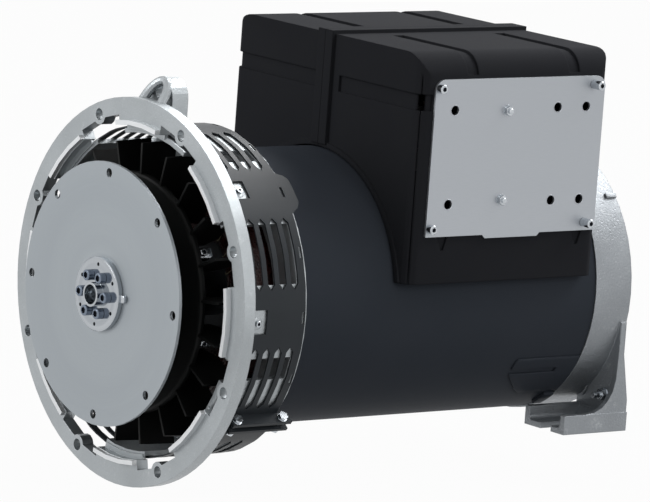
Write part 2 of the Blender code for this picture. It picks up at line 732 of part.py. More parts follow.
def make_stator_core():
    """Lamination stack: winding slots inside and four notches outside for the tie rods."""
    outer = []
    radius = HOUSING_R - HOUSING_WALL - GAP
    notch = TIE_ROD_DIA / 2 + 0.0015
    root = TIE_ROD_CIRCLE / 2 - notch
    half = asin(notch / radius)
    for k, angle in enumerate(rod_angles()):
        outer += [spot(angle, radius * cos(half), -notch), spot(angle, root, -notch),
                  spot(angle, root, notch)]
        outer += arc(radius, angle + half, angle + pi / 2 - half, 12)[:-1]
    inner = []
    bore = CORE_BORE / 2
    half = asin(CORE_SLOT_OPEN / 2 / bore)
    step = 2 * pi / CORE_SLOTS
    for k in range(CORE_SLOTS):
        angle = k * step
        inner += [spot(angle, bore * cos(half), -CORE_SLOT_OPEN / 2),
                  spot(angle, bore + CORE_SLOT_DEPTH, -CORE_SLOT_OPEN / 2),
                  spot(angle, bore + CORE_SLOT_DEPTH, CORE_SLOT_OPEN / 2),
                  spot(angle, bore * cos(half), CORE_SLOT_OPEN / 2),
                  polar(bore, angle + step / 2)]
    core = prism(new_mesh(), [outer, inner], CORE_FRONT, CORE_REAR)
    return add("stator_core", core, MATERIALS["lamination"])


def make_stator_winding():
    """Two end-turn rings joined by the bars that lie in the core's slots."""
    bars = new_mesh()
    width = CORE_SLOT_OPEN - 2 * GAP
    low = WINDING_ID / 2 + 0.001
    high = CORE_BORE / 2 + CORE_SLOT_DEPTH - GAP
    ends = (CORE_FRONT - WINDING_CLEARANCE, CORE_REAR + WINDING_CLEARANCE)
    for k in range(CORE_SLOTS):
        angle = 2 * pi * k / CORE_SLOTS
        outline = [spot(angle, low, -width / 2), spot(angle, high, -width / 2),
                   spot(angle, high, width / 2), spot(angle, low, width / 2)]
        prism(bars, [outline], ends[0] - OVERCUT, ends[1] + OVERCUT)
    winding = add("stator_winding", bars, MATERIALS["winding"])
    for name, front, rear in (("front_turns", WINDING_FRONT, ends[0]), ("rear_turns", ends[1], WINDING_REAR)):
        edge = 0.006
        outer, inner = WINDING_OD / 2, WINDING_ID / 2
        profile = [(inner + edge, front), (outer - edge, front), (outer, front + edge), (outer, rear),
                   (inner, rear), (inner, front + edge)]
        boolean(winding, cutter(name, turned(new_mesh(), profile, 24)), "UNION")
    return winding


def make_tie_rods():
    seat = SHIELD_LENGTH - SHIELD_SEAT_THICK - GAP
    rear = REAR_FACE + GAP
    steps = (("hex", TIE_ROD_NUT, seat - 0.0065, seat),
             ("round", TIE_ROD_DIA, seat, rear), ("hex", TIE_ROD_NUT, rear, rear + 0.0062),
             ("round", TIE_ROD_DIA, rear + 0.0062, FOOT_REAR - GAP))
    rod_mesh = bolted(new_mesh(), steps, (TIE_ROD_CIRCLE / 2, 0.0))
    repeat(add("tie_rod", rod_mesh, MATERIALS["fastener"]), "tie_rod", rod_angles())


def make_rear_shield():
    """Bell with bearing boss, exciter drum, spider openings and two cast feet."""
    boss = BEARING_OD / 2
    front, rear = HOUSING_REAR + GAP, REAR_FACE
    wall = REAR_FACE - REAR_END_THICK
    profile = [(REAR_OD_FRONT / 2, front), (REAR_OD_BACK / 2, rear), (0.012, rear), (0.012, rear - 0.005),
               (boss + GAP, rear - 0.005), (boss + GAP, BEARING_FRONT - 0.004),
               (boss + HOUSING_BOSS_WALL, BEARING_FRONT - 0.004), (boss + HOUSING_BOSS_WALL, wall),
               (EXCITER_OD / 2 - 0.006, wall), (EXCITER_OD / 2 - 0.006, EXCITER_REAR + GAP),
               (EXCITER_OD / 2, EXCITER_REAR + GAP), (EXCITER_OD / 2, wall),
               (REAR_OD_BACK / 2 - REAR_WALL, wall), (REAR_OD_FRONT / 2 - REAR_WALL, front)]
    shield = add("rear_shield", turned(new_mesh(), profile, 48), MATERIALS["rear_cast"])
    cuts = new_mesh()
    for angle in rod_angles():
        middle = angle + pi / 4
        wedge(cuts, boss + SPIDER_HUB, EXCITER_OD / 2 - 0.010, middle - 0.56, middle + 0.56, wall - OVERCUT,
              rear + OVERCUT, 3)
        wedge(cuts, EXCITER_OD / 2 + 0.005, REAR_OD_BACK / 2 - SPIDER_RIM, middle - 0.60, middle + 0.60,
              wall - OVERCUT, rear + OVERCUT, 4)
        rod(cuts, polar(TIE_ROD_CIRCLE / 2, angle), TIE_ROD_DIA / 2 + GAP, wall - OVERCUT, rear + OVERCUT, 8)
    boolean(shield, cutter("spider_openings", cuts))
    for side in (1, -1):
        label = "right" if side > 0 else "left"
        for name, mesh in (("foot_pad_", foot_pad(side)), ("foot_leg_", foot_leg(side)),
                           ("foot_side_", foot_side(side))):
            boolean(shield, cutter(name + label, mesh), "UNION")
    place = earth_place()
    drill = rod(new_mesh(), place, EARTH_DIA / 2 + GAP, REAR_FACE - 2 * FOOT_WEB, FOOT_REAR, 12)
    boolean(shield, cutter("earth_drill", drill))
    return shield


def foot_pad(side):
    """Flat pad with a bolt slot open at the front."""
    low = FOOT_SLOT_PLACE - FOOT_SLOT_WIDTH / 2
    high = FOOT_SLOT_PLACE + FOOT_SLOT_WIDTH / 2
    inner = FOOT_OUTER - FOOT_WIDTH
    end = FOOT_FRONT + FOOT_SLOT_DEPTH
    centre = (FOOT_SLOT_PLACE, end - FOOT_SLOT_WIDTH / 2)
    outline = [(inner, FOOT_FRONT), (low, FOOT_FRONT)] + arc(FOOT_SLOT_WIDTH / 2, pi, 0, 6, centre)
    outline += [(high, FOOT_FRONT), (FOOT_OUTER, FOOT_FRONT), (FOOT_OUTER, FOOT_REAR), (inner, FOOT_REAR)]
    return prism(new_mesh(), [outline], -SHAFT_HEIGHT, -SHAFT_HEIGHT + FOOT_THICK,
                 lambda u, v, w: (side * u, v, w))


def foot_leg(side):
    """Upright leg behind the bell, from the pad to the height of the shaft."""
    inner = FOOT_OUTER - FOOT_WIDTH
    inside = REAR_OD_BACK / 2 - REAR_WALL / 2
    outline = [(inner, -SHAFT_HEIGHT + OVERCUT), (FOOT_OUTER - 0.001, -SHAFT_HEIGHT + OVERCUT),
               (FOOT_OUTER - 0.001, FOOT_LEG_TOP)]
    outline += arc(inside, asin(FOOT_LEG_TOP / inside), -radians(55), 6)
    return prism(new_mesh(), [[(side * u, v) for u, v in outline]], REAR_FACE - FOOT_WEB - 0.0015,
                 REAR_FACE - 0.0005)


def foot_side(side):
    """Outer web of the foot: low along the pad, then sweeping up with the leg."""
    base = -SHAFT_HEIGHT + OVERCUT
    outline = [(FOOT_FRONT + GAP, base)] + [(y, rise - SHAFT_HEIGHT) for y, rise in FOOT_SIDE]
    outline.append((FOOT_REAR - 0.001, base))
    return prism(new_mesh(), [outline], side * (FOOT_OUTER - FOOT_WEB), side * (FOOT_OUTER - GAP), along_x)


def earth_place():
    return FOOT_OUTER - EARTH_INSET, -SHAFT_HEIGHT + EARTH_RISE


def race(mid_radius, outside):
    """Profile of a bearing race: the outer one opens inwards, the inner one outwards."""
    groove = BEARING_BALL / 2 + BALL_PLAY
    swing = radians(56)
    middle = BEARING_FRONT + BEARING_WIDTH / 2
    back = BEARING_OD / 2 if outside else BEARING_BORE / 2
    turn = 0.0 if outside else pi
    points = arc(groove, turn + swing, turn - swing, 4, (mid_radius, middle))
    near = BEARING_FRONT if points[-1][1] < middle else BEARING_FRONT + BEARING_WIDTH
    far = 2 * middle - near
    face = points[0][0]
    return points + [(face, near), (back, near), (back, far), (face, far)]


def make_bearing():
    mid_radius = (BEARING_OD + BEARING_BORE) / 4
    add("bearing_outer_race", turned(new_mesh(), race(mid_radius, True), 28), MATERIALS["bearing"])
    add("bearing_inner_race", turned(new_mesh(), race(mid_radius, False), 20), MATERIALS["bearing"])
    middle = BEARING_FRONT + BEARING_WIDTH / 2
    profile = [(mid_radius - 0.0012, middle - 0.004), (mid_radius + 0.0012, middle - 0.004),
               (mid_radius + 0.0012, middle + 0.004), (mid_radius - 0.0012, middle + 0.004)]
    cage = add("bearing_cage", turned(new_mesh(), profile, 14), MATERIALS["bearing"])
    balls = new_mesh()
    for k in range(BEARING_BALLS):
        x, z = polar(mid_radius, 2 * pi * k / BEARING_BALLS)
        made = bmesh.ops.create_icosphere(balls, subdivisions=2, radius=BEARING_BALL / 2)
        bmesh.ops.translate(balls, verts=made["verts"], vec=(x, middle, z))
    boolean(cage, cutter("bearing_balls", balls), "UNION")


def make_inlet_grille():
    """Round plate behind the spider, pierced with rings of arc slots."""
    loops = [circle(GRILLE_OD / 2, 40)]
    for radius in GRILLE_RINGS:
        for k in range(GRILLE_SLOTS):
            middle = 2 * pi * k / GRILLE_SLOTS
            half = (pi / GRILLE_SLOTS) - GRILLE_BAR / 2 / radius
            loops.append(arc(radius - GRILLE_SLOT / 2, middle - half, middle + half, 3)
                         + arc(radius + GRILLE_SLOT / 2, middle + half, middle - half, 3))
    grille = prism(new_mesh(), loops, REAR_FACE + GAP, REAR_FACE + GAP + GRILLE_SHEET)
    return add("inlet_grille", grille, MATERIALS["screen"])


def arch_line(radius):
    """Half of the arch over the stator tube, from the top down to the box's lower edge."""
    arch = HOUSING_R + ARCH_CLEARANCE
    return arc(radius, pi / 2 - GAP / 2 / arch, asin(BOX_BOTTOM / arch), 16)


def box_outline(side, wall=0.0):
    """Front view of one half of the terminal box, drawn inside its outer surface by the wall."""
    fillet = BOX_TOP_FILLET - wall
    edge, top = BOX_HALF_WIDTH - wall, BOX_TOP - wall
    outline = [(edge, BOX_BOTTOM)] + arc(fillet, 0, pi / 2, 8, (edge - fillet, top - fillet))
    if wall:
        outline = [(-OVERCUT, 0.0), (edge, 0.0)] + outline[1:] + [(-OVERCUT, top)]
    else:
        outline += [(GAP / 2, top)] + arch_line(HOUSING_R + ARCH_CLEARANCE)
    return [(side * u, v) for u, v in outline]


def plan_outline(side, outset):
    """Plan view of half the box with its upright corners rounded, grown by the outset."""
    radius = BOX_CORNER_FILLET + outset
    edge = BOX_HALF_WIDTH
    front, rear = BOX_FRONT + BOX_CORNER_FILLET, BOX_REAR - BOX_CORNER_FILLET
    inner = edge - BOX_CORNER_FILLET
    outline = [(-OVERCUT, front - radius)] + arc(radius, -pi / 2, 0, 5, (inner, front))
    outline += arc(radius, 0, pi / 2, 5, (inner, rear)) + [(-OVERCUT, rear + radius)]
    return [(side * u, v) for u, v in outline]


def upright(u, v, w):
    return u, v, w


def make_terminal_box(side):
    label = "right" if side > 0 else "left"
    body = prism(new_mesh(), [box_outline(side)], BOX_FRONT, BOX_REAR)
    half = add("terminal_box_" + label, body, MATERIALS["box"])
    plan = prism(new_mesh(), [plan_outline(side, 0.0)], -0.01, BOX_TOP + 0.01, upright)
    boolean(half, cutter("box_plan_" + label, plan), "INTERSECT")
    boolean(half, cutter("box_ridge_" + label, box_ridge(side)), "UNION")
    boolean(half, cutter("box_lip_" + label, box_lip(side)), "UNION")
    hollow = prism(new_mesh(), [box_outline(side, BOX_WALL)], BOX_FRONT + BOX_WALL, BOX_REAR - BOX_WALL)
    boolean(half, cutter("box_hollow_" + label, hollow))
    boolean(half, cutter("box_grooves_" + label, box_grooves(side)))
    if side > 0:
        boolean(half, cutter("box_drills", box_drills()))
    return half


def box_ridge(side):
    """Half of the raised band over the front, the top and the back, where the halves meet."""
    low = BOX_TOP - 0.010
    outline = [(GAP / 2, low), (BOX_RIDGE_HALF, low), (BOX_RIDGE_HALF, BOX_TOP + BOX_RIDGE_RISE),
               (GAP / 2, BOX_TOP + BOX_RIDGE_RISE)]
    arch = HOUSING_R + ARCH_CLEARANCE + ARCH_LIP / 2
    outline = [(GAP / 2, arch), (BOX_RIDGE_HALF, arch)] + outline[2:]
    return prism(new_mesh(), [[(side * u, v) for u, v in outline]], BOX_FRONT - BOX_RIDGE_RISE,
                 BOX_REAR + BOX_RIDGE_RISE)


def box_lip(side):
    """Raised rim along the arch on the front face."""
    arch = HOUSING_R + ARCH_CLEARANCE
    outline = arch_line(arch) + arch_line(arch + ARCH_LIP)[::-1]
    return prism(new_mesh(), [[(side * u, v) for u, v in outline]], BOX_FRONT - ARCH_LIP_RISE,
                 BOX_FRONT + ARCH_LIP_RISE)


def box_grooves(side):
    """Shallow grooves: one round the front corner and two over the top edge."""
    cuts = new_mesh()
    start = FRONT_GROOVE_RIGHT if side > 0 else FRONT_GROOVE_LEFT
    radius = BOX_CORNER_FILLET - GROOVE_DEPTH
    inner = BOX_HALF_WIDTH - BOX_CORNER_FILLET
    front = BOX_FRONT + BOX_CORNER_FILLET
    outer = BOX_HALF_WIDTH + OVERCUT
    outline = [(start, BOX_FRONT - OVERCUT), (outer, BOX_FRONT - OVERCUT), (outer, front)]
    outline += arc(radius, 0, -pi / 2, 5, (inner, front)) + [(start, BOX_FRONT + GROOVE_DEPTH)]
    prism(cuts, [[(side * u, v) for u, v in outline]], FRONT_GROOVE_LOW, FRONT_GROOVE_HIGH, upright)
    for y in TOP_GROOVES:
        radius = BOX_TOP_FILLET - GROOVE_DEPTH
        centre = (BOX_HALF_WIDTH - BOX_TOP_FILLET, BOX_TOP - BOX_TOP_FILLET)
        outline = [(GROOVE_TOP_INNER, BOX_TOP + OVERCUT), (outer, BOX_TOP + OVERCUT), (outer, centre[1] + 0.004)]
        outline += arc(radius, asin(0.004 / radius), pi / 2, 6, centre)
        outline += [(GROOVE_TOP_INNER, BOX_TOP - GROOVE_DEPTH)]
        prism(cuts, [[(side * u, v) for u, v in outline]], y - GROOVE_WIDTH / 2, y + GROOVE_WIDTH / 2)
    return cuts


def box_drills():
    """Screw holes and the window that the outlet plate covers."""
    cuts = new_mesh()
    inner, outer = BOX_HALF_WIDTH - BOX_WALL - OVERCUT, BOX_HALF_WIDTH + OVERCUT
    for place in SCREW_PLACES:
        rod(cuts, place, SCREW_SHANK_DIA / 2 + GAP, inner, outer, 12, along_x)
    front, rear, low, high = WINDOW_EDGES
    prism(cuts, [[(front, low), (rear, low), (rear, high), (front, high)]], inner, outer, along_x)
    for front, rear in NOTCHES:
        middle = (front + rear) / 2
        outline = [(front, NOTCH_TOP), (middle - 0.001, NOTCH_TIP), (middle + 0.002, NOTCH_TIP), (rear, NOTCH_TOP)]
        prism(cuts, [outline], BOX_HALF_WIDTH - NOTCH_DEPTH, outer, along_x)
    return cuts


def make_outlet_plate():
    """Metal plate with six gland holes, a drop tab and round top corners."""
    r = PLATE_CORNER
    outline = [(PLATE_FRONT, PLATE_LOW), (PLATE_TAB_FRONT, PLATE_LOW),
               (PLATE_TAB_FRONT + PLATE_TAB_DROP, PLATE_LOW - PLATE_TAB_DROP),
               (PLATE_TAB_REAR - PLATE_TAB_DROP, PLATE_LOW - PLATE_TAB_DROP), (PLATE_TAB_REAR, PLATE_LOW),
               (PLATE_REAR, PLATE_LOW)]
    outline += arc(r, 0, pi / 2, 5, (PLATE_REAR - r, PLATE_HIGH - r))
    outline += arc(r, pi / 2, pi, 5, (PLATE_FRONT + r, PLATE_HIGH - r))
    loops = [outline]
    for y in PLATE_HOLE_PLACES:
        loops += [circle(PLATE_HOLE / 2, 14, (y, z)) for z in (PLATE_HOLE_LOW, PLATE_HOLE_HIGH)]
    loops += [circle(SCREW_SHANK_DIA / 2 + GAP, 12, place) for place in SCREW_PLACES]
    loops += [circle(STUD_DIA / 2 + GAP, 12, (STUD_PLACE, z)) for z in (STUD_LOW, STUD_HIGH)]
    face = BOX_HALF_WIDTH + GAP
    return add("outlet_plate", prism(new_mesh(), loops, face, face + PLATE_SHEET, along_x), MATERIALS["plate"])


def make_plate_fasteners():
    face = BOX_HALF_WIDTH + 2 * GAP + PLATE_SHEET
    for k, place in enumerate(SCREW_PLACES):
        steps = (("round", SCREW_SHANK_DIA, 0.134, face), ("round", SCREW_HEAD_DIA, face, face + SCREW_HEAD))
        screw = bolted(new_mesh(), steps, place, along_x)
        add("plate_screw_" + str(k + 1), screw, MATERIALS["fastener"])
    for k, z in enumerate((STUD_LOW, STUD_HIGH)):
        steps = (("hex", 0.011, BOX_HALF_WIDTH - 0.005, BOX_HALF_WIDTH),
                 ("round", STUD_DIA, BOX_HALF_WIDTH, face + 0.004))
        stud = bolted(new_mesh(), steps, (STUD_PLACE, z), along_x)
        add("plate_stud_" + str(k + 1), stud, MATERIALS["fastener"])


def make_box_inside():
    """Saddle on the stator tube with the terminal board and the voltage regulator on it."""
    half = SADDLE_WIDTH / 2
    flat = HOUSING_R + SADDLE_RISE
    foot = sqrt(HOUSING_R ** 2 - (half - SADDLE_SHEET) ** 2) + GAP
    outline = [(-half, foot), (SADDLE_SHEET - half, foot), (SADDLE_SHEET - half, flat), (half - SADDLE_SHEET, flat),
               (half - SADDLE_SHEET, foot), (half, foot), (half, flat + SADDLE_SHEET), (-half, flat + SADDLE_SHEET)]
    saddle = prism(new_mesh(), [outline], BOX_FRONT + BOX_WALL + GAP, BOX_REAR - BOX_WALL - GAP)
    add("box_saddle", saddle, MATERIALS["saddle"])
    top = flat + SADDLE_SHEET + GAP
    board = new_mesh()
    box(board, (-0.058, BOARD_FRONT, top), (BOARD_WIDTH - 0.058, BOARD_FRONT + BOARD_LENGTH, top + BOARD_THICK))
    base = add("terminal_board", board, MATERIALS["board"])
    studs = new_mesh()
    for k in range(BOARD_STUDS):
        y = BOARD_FRONT + BOARD_LENGTH * (k + 0.5) / BOARD_STUDS
        rod(studs, (BOARD_WIDTH / 2 - 0.058, y), 0.003, top + BOARD_THICK / 2, top + 0.026, 10, upright)
    boolean(base, cutter("board_studs", studs), "UNION")
    regulator = new_mesh()
    box(regulator, (0.004, BOARD_FRONT, top), (0.004 + REGULATOR_WIDTH - 0.004, BOARD_FRONT + REGULATOR_LENGTH,
                                               top + REGULATOR_HEIGHT))
    add("voltage_regulator", regulator, MATERIALS["regulator"])


def make_shaft():
    journal = BEARING_BORE / 2 - GAP
    main = SHAFT_DIA / 2
    profile = [(0.003, SHAFT_FRONT), (main, SHAFT_FRONT), (main, BEARING_FRONT - 0.010),
               (journal + 0.004, BEARING_FRONT - 0.010), (journal + 0.004, BEARING_FRONT - GAP),
               (journal, BEARING_FRONT - GAP), (journal, SHAFT_REAR), (0.003, SHAFT_REAR)]
    return add("shaft", turned(new_mesh(), profile, 24), MATERIALS["shaft"])


def make_rotor_core():
    """Salient pole stack: four pole bodies with curved shoes on a round yoke."""
    shoe = CORE_BORE / 2 - AIR_GAP
    under = shoe - POLE_SHOE_THICK
    half = POLE_WIDTH / 2
    yoke = ROTOR_YOKE_DIA / 2
    root = asin(half / yoke)
    outline = []
    for k in range(ROTOR_POLES):
        angle = 2 * pi * k / ROTOR_POLES
        neck = asin(half / under)
        outline += [polar(yoke, angle - root), spot(angle, under * cos(neck), -half)]
        outline += [polar(under, angle - POLE_SHOE_SPAN / 2)]
        outline += arc(shoe, angle - POLE_SHOE_SPAN / 2, angle + POLE_SHOE_SPAN / 2, 8)
        outline += [polar(under, angle + POLE_SHOE_SPAN / 2)]
        outline += [spot(angle, under * cos(neck), half), polar(yoke, angle + root)]
    hole = circle(SHAFT_DIA / 2 + GAP, 24)
    core = prism(new_mesh(), [outline, hole], CORE_FRONT, CORE_REAR)
    return add("rotor_core", core, MATERIALS["lamination"])


def make_field_coils():
    inner = POLE_WIDTH / 2 + GAP
    outer = inner + COIL_THICK
    front, rear = CORE_FRONT - GAP, CORE_REAR + GAP
    loops = [[(-outer, front - COIL_THICK), (outer, front - COIL_THICK), (outer, rear + COIL_THICK),
              (-outer, rear + COIL_THICK)], [(-inner, front), (inner, front), (inner, rear), (-inner, rear)]]
    coil = prism(new_mesh(), loops, COIL_LOW, COIL_HIGH, lambda u, v, w: (w, v, u))
    angles = [2 * pi * k / ROTOR_POLES for k in range(ROTOR_POLES)]
    repeat(add("field_coil", coil, MATERIALS["winding"]), "field_coil", angles)


def make_cooling_fan():
    rim = FAN_RIM_DIA / 2
    bore = HUB_SLEEVE_OD / 2 + GAP
    boss = FAN_HUB_DIA / 2
    profile = [(bore, FAN_FRONT), (rim - 0.003, FAN_FRONT), (rim - 0.0009, FAN_FRONT + 0.0009),
               (rim, FAN_FRONT + 0.003), (rim, FAN_FRONT + 0.006), (rim - 0.0025, FAN_FRONT + 0.006),
               (rim - 0.004, FAN_FRONT + FAN_PLATE), (boss, FAN_FRONT + FAN_PLATE),
               (boss, FAN_FRONT + 0.020), (bore, FAN_FRONT + 0.020)]
    fan = add("cooling_fan", turned(new_mesh(), profile, 44), MATERIALS["fan"])
    blades = new_mesh()
    outline = [(FAN_BLADE_INNER / 2, FAN_FRONT + FAN_PLATE / 2), (rim - 0.0005, FAN_FRONT + 0.0015),
               (FAN_BLADE_FRONT_DIA / 2, FAN_FRONT), (FAN_BLADE_REAR_DIA / 2, FAN_REAR),
               (0.100, FAN_REAR), (FAN_BLADE_INNER / 2, FAN_REAR - 0.008)]
    for k in range(FAN_BLADES):
        angle = FAN_TURN + 2 * pi * k / FAN_BLADES
        prism(blades, [outline], -FAN_BLADE_THICK / 2, FAN_BLADE_THICK / 2, in_plane(angle))
    boolean(fan, cutter("fan_blades", blades), "UNION")
    for k, angle in enumerate(WEIGHT_ANGLES):
        radial, lateral, length = WEIGHT_SIZE
        low = rim - 0.0005 - radial
        front = FAN_FRONT + FAN_PLATE + GAP
        square = [(low - 0.005, front), (low + radial - 0.005, front), (low + radial - 0.005, front + length),
                  (low - 0.005, front + length)]
        weight = prism(new_mesh(), [square], -lateral / 2, lateral / 2, in_plane(angle))
        add("balance_weight_" + str(k + 1), weight, MATERIALS["fastener"])


def hub_screw_angles():
    return [2 * pi * k / HUB_SCREWS for k in range(HUB_SCREWS)]


def make_coupling_hub():
    """Flanged sleeve on the shaft: the disc bolts to its face and the fan sits on its sleeve."""
    front = DISC_THICK - DISC_STANDOUT + GAP
    bore = SHAFT_DIA / 2 + GAP
    profile = [(0.008, front), (HUB_OD / 2, front), (HUB_OD / 2, FAN_FRONT - GAP),
               (HUB_SLEEVE_OD / 2, FAN_FRONT - GAP), (HUB_SLEEVE_OD / 2, HUB_REAR), (bore, HUB_REAR),
               (bore, SHAFT_FRONT - GAP), (0.008, SHAFT_FRONT - GAP)]
    hub = add("coupling_hub", turned(new_mesh(), profile, 28), MATERIALS["shaft"])
    drills = new_mesh()
    for angle in hub_screw_angles():
        rod(drills, polar(HUB_SCREW_CIRCLE / 2, angle), HUB_SCREW_DIA / 2 + GAP, front - OVERCUT,
            front + 0.016, 8)
    return boolean(hub, cutter("hub_drills", drills))


def make_drive_disc():
    front = -DISC_STANDOUT
    loops = [circle(DISC_OD / 2, 64), circle(CLAMP_NOSE_ID / 2, 12)]
    loops += [circle(HUB_SCREW_DIA / 2 + GAP, 8, polar(HUB_SCREW_CIRCLE / 2, a)) for a in hub_screw_angles()]
    for k in range(DISC_HOLES):
        angle = pi / 2 + 2 * pi * k / DISC_HOLES
        loops.append(circle(DISC_HOLE / 2, 12, polar(DISC_BOLT_CIRCLE / 2, angle)))
    return add("drive_disc", prism(new_mesh(), loops, front, front + DISC_THICK), MATERIALS["disc"])


def make_clamp_ring():
    rear = -DISC_STANDOUT - GAP
    edge = 0.0008
    profile = [(CLAMP_NOSE_ID / 2, rear), (CLAMP_OD / 2, rear), (CLAMP_OD / 2, CLAMP_FACE + edge),
               (CLAMP_OD / 2 - edge, CLAMP_FACE), (CLAMP_NOSE_OD / 2, CLAMP_FACE),
               (CLAMP_NOSE_OD / 2, CLAMP_FACE - CLAMP_NOSE), (CLAMP_NOSE_ID / 2, CLAMP_FACE - CLAMP_NOSE)]
    ring = add("clamp_ring", turned(new_mesh(), profile, 40), MATERIALS["clamp"])
    drills = new_mesh()
    for angle in hub_screw_angles():
        for radius, place in ((HUB_SCREW_DIA / 2 + GAP, polar(HUB_SCREW_CIRCLE / 2, angle)),
                              (CLAMP_JACK_HOLE / 2, polar(CLAMP_JACK_CIRCLE / 2, angle + pi / HUB_SCREWS))):
            rod(drills, place, radius, CLAMP_FACE - OVERCUT, rear + OVERCUT, 9)
    return boolean(ring, cutter("clamp_drills", drills))


def make_hub_screws():
    """Socket-head screws: the socket is a blind hexagon in the head."""
    under = CLAMP_FACE - GAP
    top = under - HUB_HEAD
    centre = (HUB_SCREW_CIRCLE / 2, 0.0)
    wide, socket, shank = circle(HUB_HEAD_DIA / 2, 12, centre), hexagon(0.005, centre), circle(0.003, 12, centre)
    small = circle(HUB_HEAD_DIA / 2 - 0.0006, 12, centre)
    sections = [(socket, top + 0.0035), (socket, top), (small, top), (wide, top + 0.0006), (wide, under),
                (shank, under), (shank, under + 0.024)]
    screw = stack(new_mesh(), sections)
    repeat(add("hub_screw", screw, MATERIALS["fastener"]), "hub_screw", hub_screw_angles())


def make_exciter():
    coil = [(EXCITER_BORE / 2, EXCITER_FRONT), (EXCITER_OD / 2, EXCITER_FRONT), (EXCITER_OD / 2, EXCITER_REAR),
            (EXCITER_BORE / 2, EXCITER_REAR)]
    add("exciter_stator", turned(new_mesh(), coil, 24), MATERIALS["winding"])
    inner, outer = SHAFT_DIA / 2 + GAP, EXCITER_BORE / 2 - AIR_GAP
    armature = [(inner, EXCITER_FRONT), (outer, EXCITER_FRONT), (outer, EXCITER_REAR), (inner, EXCITER_REAR)]
    add("exciter_rotor", turned(new_mesh(), armature, 24), MATERIALS["lamination"])
    plate = [(inner, RECTIFIER_FRONT), (RECTIFIER_OD / 2, RECTIFIER_FRONT),
             (RECTIFIER_OD / 2, RECTIFIER_FRONT + RECTIFIER_THICK), (inner, RECTIFIER_FRONT + RECTIFIER_THICK)]
    add("rectifier_plate", turned(new_mesh(), plate, 24), MATERIALS["plate"])


def make_earth_stud():
    """Stud through the leg of the right foot, with its nut on the front face."""
    face = REAR_FACE - FOOT_WEB - 0.0015 - GAP
    steps = (("round", EARTH_DIA, face - 0.0145, face - 0.0060), ("hex", 0.010, face - 0.0060, face),
             ("round", EARTH_DIA, face, REAR_FACE + 0.0015))
    add("earth_stud", bolted(new_mesh(), steps, earth_place()), MATERIALS["fastener"])


def warp(face):
    """How far the corners of a face lie from its plane."""
    centre = face.calc_center_median()
    return max(abs((v.co - centre).dot(face.normal)) for v in face.verts)


def settle(item):
    """Applies a piece's modifiers, joins its flat faces, splits warped ones and marks its hard edges."""
    graph = bpy.context.evaluated_depsgraph_get()
    mesh = bpy.data.meshes.new_from_object(item.evaluated_get(graph), depsgraph=graph)
    item.modifiers.clear()
    item.data = mesh
    mesh.name = item.name
    flat = bmesh.new()
    flat.from_mesh(mesh)
    bmesh.ops.dissolve_limit(flat, angle_limit=radians(0.5), verts=flat.verts, edges=flat.edges)
    flat.normal_update()
    warped = [face for face in flat.faces if len(face.verts) > 3 and warp(face) > WARP_LIMIT]
    bmesh.ops.triangulate(flat, faces=warped)
    flat.to_mesh(mesh)
    flat.free()
    mesh.set_sharp_from_angle(angle=radians(30))


def linear(code):
    """Turns a hex colour into linear values."""
    parts = [int(code[i:i + 2], 16) / 255 for i in (0, 2, 4)]
    return tuple(p / 12.92 if p <= 0.04045 else ((p + 0.055) / 1.055) ** 2.4 for p in parts)


clear_scene()

MATERIALS = {
    "cast": material("cast_aluminium", linear("A8ADB1"), 0.8, 0.45),
    "rear_cast": material("rear_cast_aluminium", linear("A4A8AB"), 0.8, 0.5),
    "screen": material("painted_screen", linear("2E3338"), 0.0, 0.35),
    "housing": material("painted_housing", linear("2C3035"), 0.0, 0.35),
    "box": material("moulded_box", linear("242628"), 0.0, 0.5),
    "plate": material("zinc_plate", linear("AEB2B5"), 0.9, 0.4),
    "saddle": material("saddle_steel", linear("8C9195"), 0.9, 0.45),
    "disc": material("drive_disc_steel", linear("9CA3A8"), 0.9, 0.35),
    "clamp": material("turned_clamp_steel", linear("C4C8CC"), 1.0, 0.2),
    "fastener": material("zinc_fasteners", linear("B4B7BA"), 1.0, 0.3),
    "shaft": material("machined_steel", linear("8E9296"), 1.0, 0.3),
    "bearing": material("bearing_steel", linear("B9BCC0"), 1.0, 0.18),
    "lamination": material("lamination_steel", linear("5A5D60"), 0.6, 0.5),
    "winding": material("varnished_copper", linear("6E2A20"), 0.1, 0.35),
    "fan": material("fan_nylon", linear("1B1C1E"), 0.0, 0.5),
    "board": material("board_phenolic", linear("6B4A2B"), 0.0, 0.5),
    "regulator": material("regulator_resin", linear("1F2A44"), 0.0, 0.45),
}

FRAME = bpy.data.objects.new("flange_frame", None)
bpy.context.collection.objects.link(FRAME)
FRAME.location = (0.0, -MID_LENGTH, FLANGE_R)

make_front_shield()
make_vent_screen()
make_lower_panel()
make_clamp_bolts()
make_stator_housing()
make_stator_core()
make_stator_winding()
make_tie_rods()
make_rear_shield()
make_bearing()
make_inlet_grille()
make_terminal_box(1)
make_terminal_box(-1)
make_outlet_plate()
make_plate_fasteners()
make_box_inside()
make_earth_stud()
make_shaft()
make_rotor_core()
make_field_coils()
make_cooling_fan()
make_coupling_hub()
make_drive_disc()
make_clamp_ring()
make_hub_screws()
make_exciter()

for piece in [item for item in bpy.data.objects if item.modifiers]:
    settle(piece)
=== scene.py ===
"""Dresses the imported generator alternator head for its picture.

Lengths are in metres and angles in degrees, unless a name says otherwise. New meshes are drawn in the flange
frame: its origin is the centre of the engine flange face, +Y runs rearwards along the shaft and +Z is up.
"""

import json
import logging
import math
from collections.abc import Sequence
from dataclasses import dataclass
from enum import Enum

import bmesh
import bpy
from mathutils import Matrix, Vector


